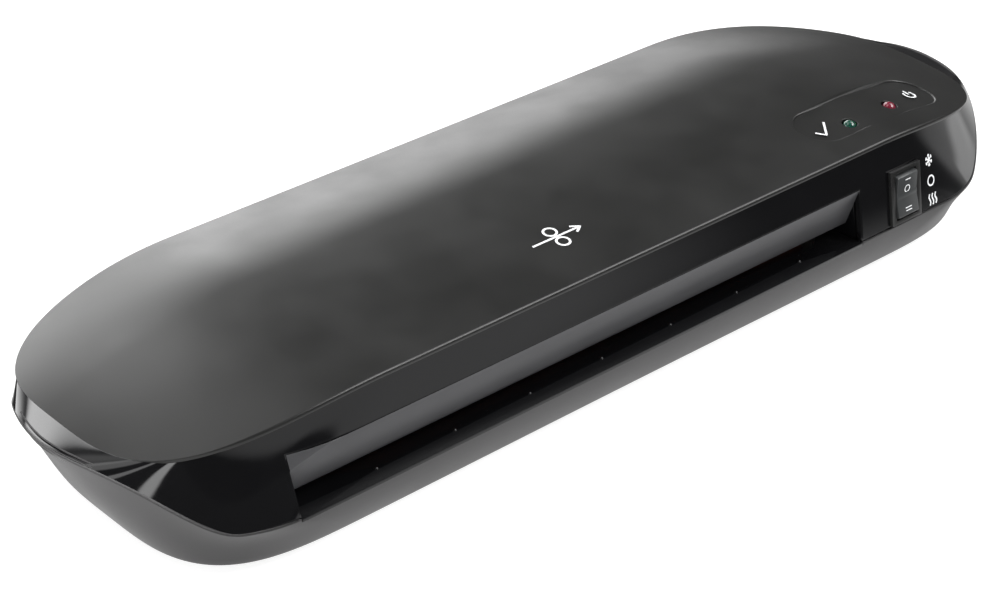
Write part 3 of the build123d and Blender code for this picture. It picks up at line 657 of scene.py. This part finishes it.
BASE_EDGE_ROUND = 0.35
BASE_GROOVE = 1.4
TABLE_GAP = 0.1
WELLS = [(x, y) for x in (-156.0, 156.0) for y in (-26.0, 26.0)]
WELL_R, WELL_DEPTH = 3.6, 6.0
VENT_COUNT, VENT_PITCH, VENT_START_X = 12, 17.0, -108.5
VENT_Y, VENT_R = (-12.5, 8.5), 1.5
BOTTOM_LIP = 0.3
WELL_POINTS, VENT_POINTS = 40, 10
# v of the points up the join below zero, and how many steps there are above it
JOIN_FOOT, JOIN_STEPS = (-2.0, -1.0), 9
BASE_GRID, PLATE_GRID, PLATE_UNDER_GRID = 1.8, 6.0, 8.0


def side_walls(shell):
    """Outer and inner face of the base's walls, with the groove along the parting line.

    Returns u and v round the foot of the walls."""
    slot_left, slot_right = slot_halves(BASE, TABLE_Z, SLOT_SEAT_Z)
    left_x, right_x = MOUTH_X[0] - TABLE_GAP, MOUTH_X[1] + TABLE_GAP
    seat = [(left_x, TABLE_Z), (left_x, TABLE_SEAT_Z), (right_x, TABLE_SEAT_Z), (right_x, TABLE_Z)]
    top = all_round(slot_left, chain_xz(BASE, seat, True), slot_right, BASE_TOP)[::-1]
    top_in = offset(top, BASE_EDGE_ROUND, False)
    foot = walk(0, BASE.length, -BASE_ROUND_V)
    heights = np.concatenate([JOIN_FOOT, np.linspace(0, top_in[0, 1], JOIN_STEPS + 1)[:-1]])
    right = np.stack([np.full(len(heights), BASE.length), heights], 1)
    left = np.stack([np.zeros(len(heights)), heights[::-1]], 1)
    points, triangles = region(np.vstack([foot, right, top_in, left]), [], BASE_GRID)
    at = base_normal(points)
    shell.triangles(BASE.at(*points.T), at, triangles)
    rounded_edge(shell, BASE.at, base_normal, top, top_in, WALL, False, groove=BASE_GROOVE)
    inner_uv = points.copy()
    start = len(foot) + len(right)
    inner_uv[start:start + len(top_in)] = top
    shell.triangles(BASE.at(*inner_uv.T) - at * WALL, at, triangles, flip=True)
    return foot[:-1]


def on_floor(x, y):
    """Plan points on the underside."""
    return np.stack([x, y, np.full_like(x, FLOOR_Z)], -1)


def down(uv):
    """Normals that point down."""
    return np.tile(np.array([0.0, 0.0, -1.0]), (len(uv), 1))


def bottom_plate(shell, foot):
    """Bottom of the base inside its rounded edge, with the screw wells and the vents."""
    edge = BASE.at(*foot.T)
    plan = edge[:, :2]
    wells = [circle(x, y, WELL_R, WELL_POINTS) for x, y in WELLS]
    across = [VENT_START_X + VENT_PITCH * i for i in range(VENT_COUNT)]
    vents = [stadium(((x, VENT_Y[0]), (x, VENT_Y[1])), VENT_R, VENT_POINTS) for x in across]
    holes = wells + vents
    lips = [offset(hole, BOTTOM_LIP, True) for hole in holes]
    points, triangles = region(plan, lips, PLATE_GRID)
    flat = on_floor(*points.T)
    flat[:len(plan)] = edge
    shell.triangles(flat, -down(points), triangles, flip=True)
    depths = [WELL_DEPTH] * len(wells) + [WALL] * len(vents)
    for hole, lip, depth in zip(holes, lips, depths):
        rounded_edge(shell, on_floor, down, hole[::-1], lip[::-1], depth, True)
    points, triangles = region(plan, holes, PLATE_UNDER_GRID)
    inner = on_floor(*points.T) + np.array([0, 0, WALL])
    inner[:len(plan)] = edge - base_normal(foot) * WALL
    shell.triangles(inner, -down(points), triangles)


def make_base():
    """Lower case half."""
    shell = Shell()
    bottom_plate(shell, side_walls(shell))
    return shell.build("base_skin")


# ------------------------------------------------------------------ other pieces
# faces closer than FLAT are merged, edges over SHARP are bevelled, edges over CREASE are shaded sharp
FLAT = math.radians(0.6)
SHARP = math.radians(35.0)
CREASE = math.radians(40.0)
WELD = 2e-6


def bevelled(node, width):
    """A copy of a CAD part with its edges broken."""
    mesh = bpy.data.meshes.new(node + "_shape")
    work = bmesh.new()
    work.from_mesh(NODES[node].data)
    bmesh.ops.remove_doubles(work, verts=work.verts, dist=WELD)
    bmesh.ops.dissolve_limit(work, angle_limit=FLAT, verts=work.verts, edges=work.edges)
    sharp = [e for e in work.edges if len(e.link_faces) == 2 and e.calc_face_angle(0) > SHARP]
    bmesh.ops.bevel(
        work, geom=sharp, offset=width * MM, segments=2, profile=0.5, affect="EDGES", clamp_overlap=True,
    )
    work.to_mesh(mesh)
    work.free()
    if "custom_normal" in mesh.attributes:
        mesh.attributes.remove(mesh.attributes["custom_normal"])
    mesh.polygons.foreach_set("use_smooth", [True] * len(mesh.polygons))
    mesh.set_sharp_from_angle(angle=CREASE)
    thing = bpy.data.objects.new(mesh.name, mesh)
    bpy.context.scene.collection.objects.link(thing)
    return thing


# how far a print stands out and reaches in, and its longest segment
PRINT_LIFT, PRINT_ROOT = 0.03, 0.02
PRINT_STEP = 0.35


def print_mark(name, strokes, place, size, width):
    """Raised print made of ribbons; place maps (x, y) in the mark's own plane to point and normal."""
    shell = Shell()
    for stroke in strokes:
        line = dense(np.array(stroke, float) * size, PRINT_STEP)
        closed = len(stroke) > 3 and np.allclose(stroke[0], stroke[-1])
        if closed:
            line = line[:-1]
        edges = np.diff(np.vstack([line, line[:1]]) if closed else line, axis=0)
        left = unit(np.stack([-edges[:, 1], edges[:, 0]], 1))
        if closed:
            mean = unit(np.roll(left, 1, axis=0) + left)
        else:
            mean = unit(np.vstack([left[:1], left]) + np.vstack([left, left[-1:]]))
        a, na = place(line + mean * width / 2)
        b, nb = place(line - mean * width / 2)
        rows = [a - na * PRINT_ROOT, a + na * PRINT_LIFT, b + nb * PRINT_LIFT, b - nb * PRINT_ROOT]
        shell.strip(rows, [na, na, nb, nb], closed)
    return shell.build(name)


def dome_place(x, y):
    """Mark lying on the cover round a point; its x runs along the machine."""
    def place(p):
        plan = p + np.array([x, y])
        return on_dome()(*plan.T), dome_normal(plan)
    return place


def band_place(x, z):
    """Mark on the front of the band round a point; its y runs up the face."""
    def place(p):
        uv = BAND.find(x + p[:, 0], z + p[:, 1] * FACE_UPRIGHT, True)
        return BAND.at(*uv.T), band_normal(uv)
    return place


# the rocker's faces: how far out their valley lies, and how they rise from it
ROCKER_VALLEY, ROCKER_RISE = 1.4, 0.14


def rocker_place(p):
    """Mark on the two sloping halves of the rocker; x runs across and y up the face."""
    outward = unit(np.array([0.0, -1.0, FACE_SLOPE]))
    upward = unit(np.array([0.0, FACE_SLOPE, 1.0]))
    across = np.array([1.0, 0.0, 0.0])
    x, y = p[:, :1], p[:, 1:]
    height = ROCKER_VALLEY + ROCKER_RISE * np.abs(y)
    points = np.array(SWITCH) + x * across + y * upward + height * outward
    return points, unit(outward - np.sign(y) * ROCKER_RISE * upward)


def polar(radius, angle):
    """Point at a distance and an angle in radians from the origin."""
    return radius * math.cos(angle), radius * math.sin(angle)


# The marks are drawn about one unit high; print_mark scales them.
ARC_POINTS, WAVE_POINTS = 25, 13
ARM, BARB_AT, BARB, BARB_TURN = 0.5, 0.34, 0.16, 0.9
WAVE_WIDTH = 0.09


def arc(x, y, radius, start=0, end=360):
    """Points along an arc; a full turn by default."""
    angle = np.radians(np.linspace(start, end, ARC_POINTS))
    return [(x + radius * math.cos(a), y + radius * math.sin(a)) for a in angle]


def barb(angle, side):
    """End of one barb of a snowflake's arm."""
    (x, y), (dx, dy) = polar(BARB_AT, angle), polar(BARB, angle + side)
    return x + dx, y + dy


def wave(x):
    """One upright wave of a heat sign."""
    return [(x + WAVE_WIDTH * math.sin(t * 2 * math.pi), -0.5 + t) for t in np.linspace(0, 1, WAVE_POINTS)]


SNOW = [[polar(-ARM, a), polar(ARM, a)] for a in (math.pi / 2, math.pi / 6, -math.pi / 6)]
ARM_ANGLES = [math.pi / 6 + k * math.pi / 3 for k in range(6)]
SNOW += [[barb(a, BARB_TURN), polar(BARB_AT, a), barb(a, -BARB_TURN)] for a in ARM_ANGLES]
RING = [arc(0, 0, 0.42)]
HEAT = [wave(-0.36), wave(0.0), wave(0.36)]
TICK = [[(-0.75, 0.1), (-0.3, -0.5), (0.75, 0.75)]]
POWER = [arc(0, -0.05, 0.42, 130, 410), [(0, 0.0), (0, 0.55)]]
ROLLERS = [
    arc(0, 0.34, 0.24),
    arc(0, -0.34, 0.24),
    [(-1.1, 0.0), (1.1, 0.0)],
    [(0.78, 0.2), (1.1, 0.0), (0.78, -0.2)],
]
ROCKER_MARKS = [
    [(-1.3, 5.6), (1.3, 5.6)],
    arc(0, 2.1, 1.2),
    [(-1.5, -4.6), (1.5, -4.6)],
    [(-1.5, -5.6), (1.5, -5.6)],
]


# prints: name, strokes, where they lie, size, line width
CASE_PRINTS = [
    ("print_ready", TICK, dome_place(95.2, -36.8), 5.0, 0.75),
    ("print_power", POWER, dome_place(142.5, -33.3), 5.0, 0.7),
    ("print_feed", ROLLERS, dome_place(-20.4, -31.0), 9.0, 0.8),
    ("print_cold", SNOW, band_place(131.8, 36.5), 4.2, 0.5),
    ("print_off", RING, band_place(131.6, 29.5), 4.0, 0.55),
    ("print_hot", HEAT, band_place(132.0, 22.8), 4.2, 0.6),
]
ROCKER_PRINT = ("print_rocker", ROCKER_MARKS, rocker_place, 1.0, 0.34)


def make_prints():
    """Generic symbols in place of words."""
    marks = [print_mark(*row) for row in CASE_PRINTS]
    for mark in marks:
        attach(mark, "case")
    rocker = print_mark(*ROCKER_PRINT)
    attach(rocker, "rocker")
    return [*marks, rocker]


# ------------------------------------------------------------------ materials
def wear_edges(nodes, links, colour, wear, last):
    """Mix a lighter tone into the colour along convex edges."""
    geometry = nodes.new("ShaderNodeNewGeometry")
    edge = nodes.new("ShaderNodeMapRange")
    edge.inputs["From Min"].default_value = 0.53
    edge.inputs["From Max"].default_value = 0.62
    edge.inputs["To Max"].default_value = wear
    links.new(geometry.outputs["Pointiness"], edge.inputs["Value"])
    worn = nodes.new("ShaderNodeMix")
    worn.data_type = "RGBA"
    worn.inputs["B"].default_value = (*[min(1, c * 2.2 + 0.02) for c in colour], 1)
    links.new(edge.outputs["Result"], worn.inputs["Factor"])
    links.new(last, worn.inputs["A"])
    return worn.outputs["Result"]


def shade(name, colour, rough, metal=0.0, coat=0.0, grain=(2500, 0.02), mottle=0.15, patch=45.0, wear=0.0,
          rough_vary=0.06, sub=0.0, brushed=None):
    """Principled material with fine grain, patchy colour and roughness, and lighter worn edges.

    The grain is its scale and its depth in millimetres. Brushed stretches it along one axis."""
    material = bpy.data.materials.new(name)
    material.use_nodes = True
    tree = material.node_tree
    nodes, links = tree.nodes, tree.links
    bsdf = nodes["Principled BSDF"]
    bsdf.inputs["Metallic"].default_value = metal
    bsdf.inputs["Coat Weight"].default_value = coat
    bsdf.inputs["Coat Roughness"].default_value = 0.06
    if sub:
        bsdf.inputs["Subsurface Weight"].default_value = sub
        bsdf.inputs["Subsurface Scale"].default_value = 0.002
    coordinates = nodes.new("ShaderNodeTexCoord")
    place = coordinates.outputs["Object"]
    if brushed:
        stretch = nodes.new("ShaderNodeMapping")
        stretch.inputs["Scale"].default_value = brushed
        links.new(place, stretch.inputs["Vector"])
        grain_place = stretch.outputs["Vector"]
    else:
        grain_place = place
    fine = nodes.new("ShaderNodeTexNoise")
    fine.inputs["Scale"].default_value = grain[0]
    fine.inputs["Detail"].default_value = 3.0
    links.new(grain_place, fine.inputs["Vector"])
    bump = nodes.new("ShaderNodeBump")
    bump.inputs["Strength"].default_value = 1.0
    bump.inputs["Distance"].default_value = grain[1] * MM
    links.new(fine.outputs["Fac"], bump.inputs["Height"])
    links.new(bump.outputs["Normal"], bsdf.inputs["Normal"])
    broad = nodes.new("ShaderNodeTexNoise")
    broad.inputs["Scale"].default_value = patch
    broad.inputs["Detail"].default_value = 4.0
    links.new(place, broad.inputs["Vector"])
    both = nodes.new("ShaderNodeMath")
    both.operation = "MULTIPLY_ADD"
    both.inputs[1].default_value = 0.35
    links.new(fine.outputs["Fac"], both.inputs[0])
    links.new(broad.outputs["Fac"], both.inputs[2])
    vary = nodes.new("ShaderNodeMapRange")
    vary.inputs["From Min"].default_value = 0.35
    vary.inputs["From Max"].default_value = 1.0
    vary.inputs["To Min"].default_value = max(0.02, rough - rough_vary)
    vary.inputs["To Max"].default_value = rough + rough_vary
    links.new(both.outputs["Value"], vary.inputs["Value"])
    links.new(vary.outputs["Result"], bsdf.inputs["Roughness"])
    tone = nodes.new("ShaderNodeMix")
    tone.data_type = "RGBA"
    tone.inputs["A"].default_value = (*[c * (1 - mottle) for c in colour], 1)
    tone.inputs["B"].default_value = (*[min(1, c * (1 + mottle)) for c in colour], 1)
    spread = nodes.new("ShaderNodeMapRange")
    spread.inputs["From Min"].default_value = 0.45
    spread.inputs["From Max"].default_value = 0.9
    links.new(both.outputs["Value"], spread.inputs["Value"])
    links.new(spread.outputs["Result"], tone.inputs["Factor"])
    last = tone.outputs["Result"]
    if wear:
        last = wear_edges(nodes, links, colour, wear, last)
    links.new(last, bsdf.inputs["Base Color"])
    return material


FINISH = {
    "satin_black_case": shade(
        "satin_black", (0.0105, 0.0105, 0.0101), 0.34, grain=(2600, 0.012), wear=0.25,
    ),
    "satin_grey_base": shade("satin_charcoal", (0.03, 0.029, 0.03), 0.42, grain=(2200, 0.018), wear=0.3),
    # the mouth panel's grey is partly its own tone and partly painted reflection of the studio light on
    # its slope
    "satin_grey_panel": shade("panel_grey_and_painted_sheen", (0.05, 0.05, 0.053), 0.4, grain=(2400, 0.01), wear=0.3),
    "gloss_black_band": shade(
        "piano_black", (0.0035, 0.0035, 0.004), 0.07, grain=(900, 0.0006), rough_vary=0.03, wear=0.15,
    ),
    "switch_black": shade("switch_black", (0.012, 0.012, 0.012), 0.3, grain=(3200, 0.01), wear=0.5),
    "rocker_grey": shade("rocker_grey", (0.035, 0.037, 0.038), 0.36, grain=(3600, 0.012), wear=0.5),
    "green_lens": shade("green_lens", (0.004, 0.05, 0.032), 0.08, grain=(1500, 0.001), coat=0.6, sub=0.2),
    "red_lens": shade("red_lens", (0.17, 0.012, 0.03), 0.08, grain=(1500, 0.001), coat=0.6, sub=0.2),
    "rubber": shade("rubber", (0.014, 0.014, 0.014), 0.75, grain=(1500, 0.05), mottle=0.3),
    "silicone": shade("silicone", (0.36, 0.09, 0.05), 0.5, grain=(1800, 0.02), mottle=0.12),
    "zinc_steel": shade(
        "zinc_steel", (0.55, 0.56, 0.58), 0.32, metal=1.0, grain=(700, 0.004), patch=160, mottle=0.18,
    ),
    "bright_steel": shade(
        "bright_steel", (0.62, 0.62, 0.63), 0.2, metal=1.0, grain=(1200, 0.003), brushed=(1, 14, 14),
    ),
    "heater_aluminium": shade(
        "heater_aluminium", (0.72, 0.73, 0.75), 0.3, metal=1.0, grain=(500, 0.006), brushed=(0.04, 6, 6),
    ),
    "bush_plastic": shade("bush_plastic", (0.6, 0.57, 0.47), 0.5, grain=(1600, 0.02), sub=0.1),
    "gear_plastic": shade("gear_plastic", (0.72, 0.71, 0.66), 0.42, grain=(1600, 0.015), sub=0.1),
    "board_green": shade(
        "board_green", (0.015, 0.12, 0.045), 0.35, grain=(1800, 0.01), coat=0.3, mottle=0.25, patch=300,
    ),
    "component_black": shade("component_black", (0.02, 0.02, 0.022), 0.5, grain=(1500, 0.03), wear=0.4),
    "brass_tab": shade("brass_tab", (0.62, 0.44, 0.18), 0.3, metal=1.0, grain=(900, 0.005), mottle=0.2),
    "insulation": shade("insulation", (0.66, 0.62, 0.5), 0.7, grain=(1300, 0.04), mottle=0.2),
}
PRINT_WHITE = shade("print_white", (0.78, 0.79, 0.8), 0.55, grain=(3000, 0.006), mottle=0.08)


def dress(thing, slot):
    """Give a piece the material of a slot, and no other."""
    thing.data.materials.clear()
    thing.data.materials.append(FINISH[slot])


for node, thing in NODES.items():
    dress(thing, SLOT_OF[node])

SKINS = {"top_cover": make_cover(), "front_band": make_band(), "base_shell": make_base()}
# CAD parts whose edges are broken, with the bevel's width
BROKEN_EDGES = {
    "mouth_frame": 0.35, "feed_table": 0.25, "exit_guide": 0.3, "switch_body": 0.35, "switch_rocker": 0.3,
    "cord_gland": 0.5, "rubber_feet": 0.6,
}
for node, width in BROKEN_EDGES.items():
    SKINS[node] = bevelled(node, width)
for node, piece in SKINS.items():
    dress(piece, SLOT_OF[node])
    body = NODES[node]["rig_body"]
    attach(piece, body)
    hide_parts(node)


# the panel's faces lie in front of this Y and look forwards at least this much
PANEL_BACK_Y = -48.0
FORWARDS = -0.5


def cheeks_black_with_painted_shade(thing):
    """Glossy black for everything of the mouth frame but its sloping panel; on the cheeks it is partly
    painted shade.
    """
    thing.data.materials.append(FINISH["gloss_black_band"])
    for face in thing.data.polygons:
        in_mouth = MOUTH_X[0] < face.center.x / MM < MOUTH_X[1] and face.center.y / MM < PANEL_BACK_Y
        # painted shade: the cheeks at the mouth's ends take glossy black, partly their own colour and
        # partly the shade they lie in
        face.material_index = 0 if in_mouth and face.normal.y < FORWARDS else 1


cheeks_black_with_painted_shade(SKINS["mouth_frame"])
for mark in make_prints():
    mark.data.materials.append(PRINT_WHITE)


# ------------------------------------------------------------------ studio
def glow(name):
    """Material whose light is made of soft patches, and the node to add them up in."""
    material = bpy.data.materials.new(name)
    material.use_nodes = True
    tree = material.node_tree
    tree.nodes.remove(tree.nodes["Principled BSDF"])
    emission = tree.nodes.new("ShaderNodeEmission")
    tree.links.new(emission.outputs["Emission"], tree.nodes["Material Output"].inputs["Surface"])
    return material, tree, emission


def patches(tree, vector, target, base, items, measure, reverse):
    """Feed a base level plus soft round patches of (centre, inner, outer, level) to a socket."""
    last = None
    for centre, inner, outer, level in items:
        apart = tree.nodes.new("ShaderNodeVectorMath")
        apart.operation = measure
        apart.inputs[1].default_value = centre
        tree.links.new(vector, apart.inputs[0])
        soft = tree.nodes.new("ShaderNodeMapRange")
        soft.interpolation_type = "SMOOTHSTEP"
        soft.inputs["From Min"].default_value = outer if reverse else inner
        soft.inputs["From Max"].default_value = inner if reverse else outer
        soft.inputs["To Min"].default_value = 0.0 if reverse else level
        soft.inputs["To Max"].default_value = level if reverse else 0.0
        tree.links.new(apart.outputs["Value"], soft.inputs["Value"])
        total = tree.nodes.new("ShaderNodeMath")
        total.operation = "ADD"
        total.inputs[1].default_value = base
        tree.links.new(soft.outputs["Result"], total.inputs[0])
        if last is not None:
            tree.links.new(last, total.inputs[1])
        last = total.outputs["Value"]
    tree.links.new(last, target)


def card(name, centre, size, strength):
    """Soft light panel that faces the object and doesn't show in glossy parts."""
    data = bpy.data.lights.new(name, "AREA")
    data.shape = "RECTANGLE"
    data.size, data.size_y = size
    data.energy = strength
    light = bpy.data.objects.new(name, data)
    light.location = centre
    light.rotation_mode = "QUATERNION"
    light.rotation_quaternion = (Vector() - Vector(centre)).to_track_quat("-Z", "Y")
    light.visible_glossy = False
    bpy.context.scene.collection.objects.link(light)


FLOOR_HALF = 6.0
FLOOR_TONE, FLOOR_GLOW = 0.35, 0.84


def plane(name, z, material):
    """Level square that belongs to the studio."""
    corners = [(x, y, z) for x, y in ((-1, -1), (1, -1), (1, 1), (-1, 1))]
    mesh = bpy.data.meshes.new(name)
    mesh.from_pydata([(x * FLOOR_HALF, y * FLOOR_HALF, z) for x, y, z in corners], [], [(0, 1, 2, 3)])
    thing = bpy.data.objects.new(name, mesh)
    bpy.context.scene.collection.objects.link(thing)
    thing.data.materials.append(material)
    return thing


def pale_floor():
    """White table top, lit a little from inside so that only a faint shadow shows."""
    material = bpy.data.materials.new("pale_floor")
    material.use_nodes = True
    bsdf = material.node_tree.nodes["Principled BSDF"]
    bsdf.inputs["Base Color"].default_value = (FLOOR_TONE, FLOOR_TONE, FLOOR_TONE, 1)
    bsdf.inputs["Roughness"].default_value = 0.9
    bsdf.inputs["Specular IOR Level"].default_value = 0.1
    bsdf.inputs["Emission Color"].default_value = (1, 1, 1, 1)
    bsdf.inputs["Emission Strength"].default_value = FLOOR_GLOW
    return material


# Light patches that glossy parts see in the table: centre, inner and outer radius, level.
# Lengths along the machine count for less, so the first patch lies all along its front.
TABLE_STRETCH = (0.4, 1.0, 1.0)
TABLE_PATCHES = [
    ((0.0, 0.0, 0.0), 0.085, 0.15, 0.95),
    ((-0.02, -0.19, 0.0), 0.04, 0.09, 0.7),
    ((0.12, -0.10, 0.0), 0.02, 0.05, 0.6),
    ((-0.108, -0.10, 0.0), 0.02, 0.03, 2.6),
    ((-0.165, 0.045, 0.0), 0.045, 0.065, 4.5),
    ((0.13, -0.06, 0.0), 0.02, 0.035, 0.9),
]
# Light patches in the sky: direction, cosines of the inner and outer edge, level. The first four
# lie low behind the machine, the last lies low at its front left, and the others are higher.
SKY_PATCHES = [
    ((0.25, 0.966, 0.06), 0.97, 0.84, 2.9),
    ((0.60, 0.80, 0.02), 0.99, 0.95, 1.6),
    ((-0.20, 0.978, 0.05), 0.95, 0.84, 2.0),
    ((-0.86, 0.50, 0.06), 0.95, 0.82, 5.4),
    ((0.10, 0.62, 0.78), 0.985, 0.94, 0.2),
    ((-0.02, 0.36, 0.93), 0.97, 0.93, 0.8),
    ((0.60, -0.05, 0.80), 0.985, 0.93, 3.4),
    ((0.62, -0.40, 0.68), 0.985, 0.93, 3.4),
    ((0.15, 0.76, 0.63), 0.997, 0.987, 7.0),
    ((-0.40, 0.24, 0.885), 0.985, 0.95, 1.8),
    ((0.40, -0.55, 0.73), 0.988, 0.972, 9.0),
    ((-0.76, -0.27, 0.59), 0.998, 0.995, 2.6),
    ((-0.74, -0.64, 0.20), 0.997, 0.993, 5.0),
]
# levels outside the patches, and how far the glow lies below the floor
TABLE_LEVEL, SKY_LEVEL = 0.06, 0.11
GLOW_DROP = 0.0005
# soft fill lights: name, place, size, watts
FILLS = [
    ("front_fill", (-0.6, -1.3, 0.9), (1.2, 0.8), 9.0),
    ("top_fill", (0.0, 0.2, 1.4), (1.6, 1.0), 10.0),
]


def make_table():
    """Pale floor, and just below it the glow that only glossy parts see."""
    floor = plane("floor", 0.0, pale_floor())
    floor.visible_glossy = False
    material, tree, emission = glow("table_glow")
    place = tree.nodes.new("ShaderNodeTexCoord")
    stretch = tree.nodes.new("ShaderNodeMapping")
    stretch.inputs["Scale"].default_value = TABLE_STRETCH
    tree.links.new(place.outputs["Object"], stretch.inputs["Vector"])
    strength = emission.inputs["Strength"]
    patches(tree, stretch.outputs["Vector"], strength, TABLE_LEVEL, TABLE_PATCHES, "DISTANCE", False)
    below = plane("table_glow", -GLOW_DROP, material)
    below.visible_camera = False
    below.visible_diffuse = False
    below.visible_shadow = False
    below.visible_transmission = False


def make_sky():
    """White world whose level comes from the sky patches."""
    world = bpy.data.worlds.new("world")
    bpy.context.scene.world = world
    world.use_nodes = True
    tree = world.node_tree
    place = tree.nodes.new("ShaderNodeTexCoord")
    strength = tree.nodes["Background"].inputs["Strength"]
    tree.nodes["Background"].inputs["Color"].default_value = (1, 1, 1, 1)
    patches(tree, place.outputs["Generated"], strength, SKY_LEVEL, SKY_PATCHES, "DOT_PRODUCT", True)


make_table()
make_sky()
for fill in FILLS:
    card(*fill)
bpy.context.scene.view_settings.view_transform = "Standard"
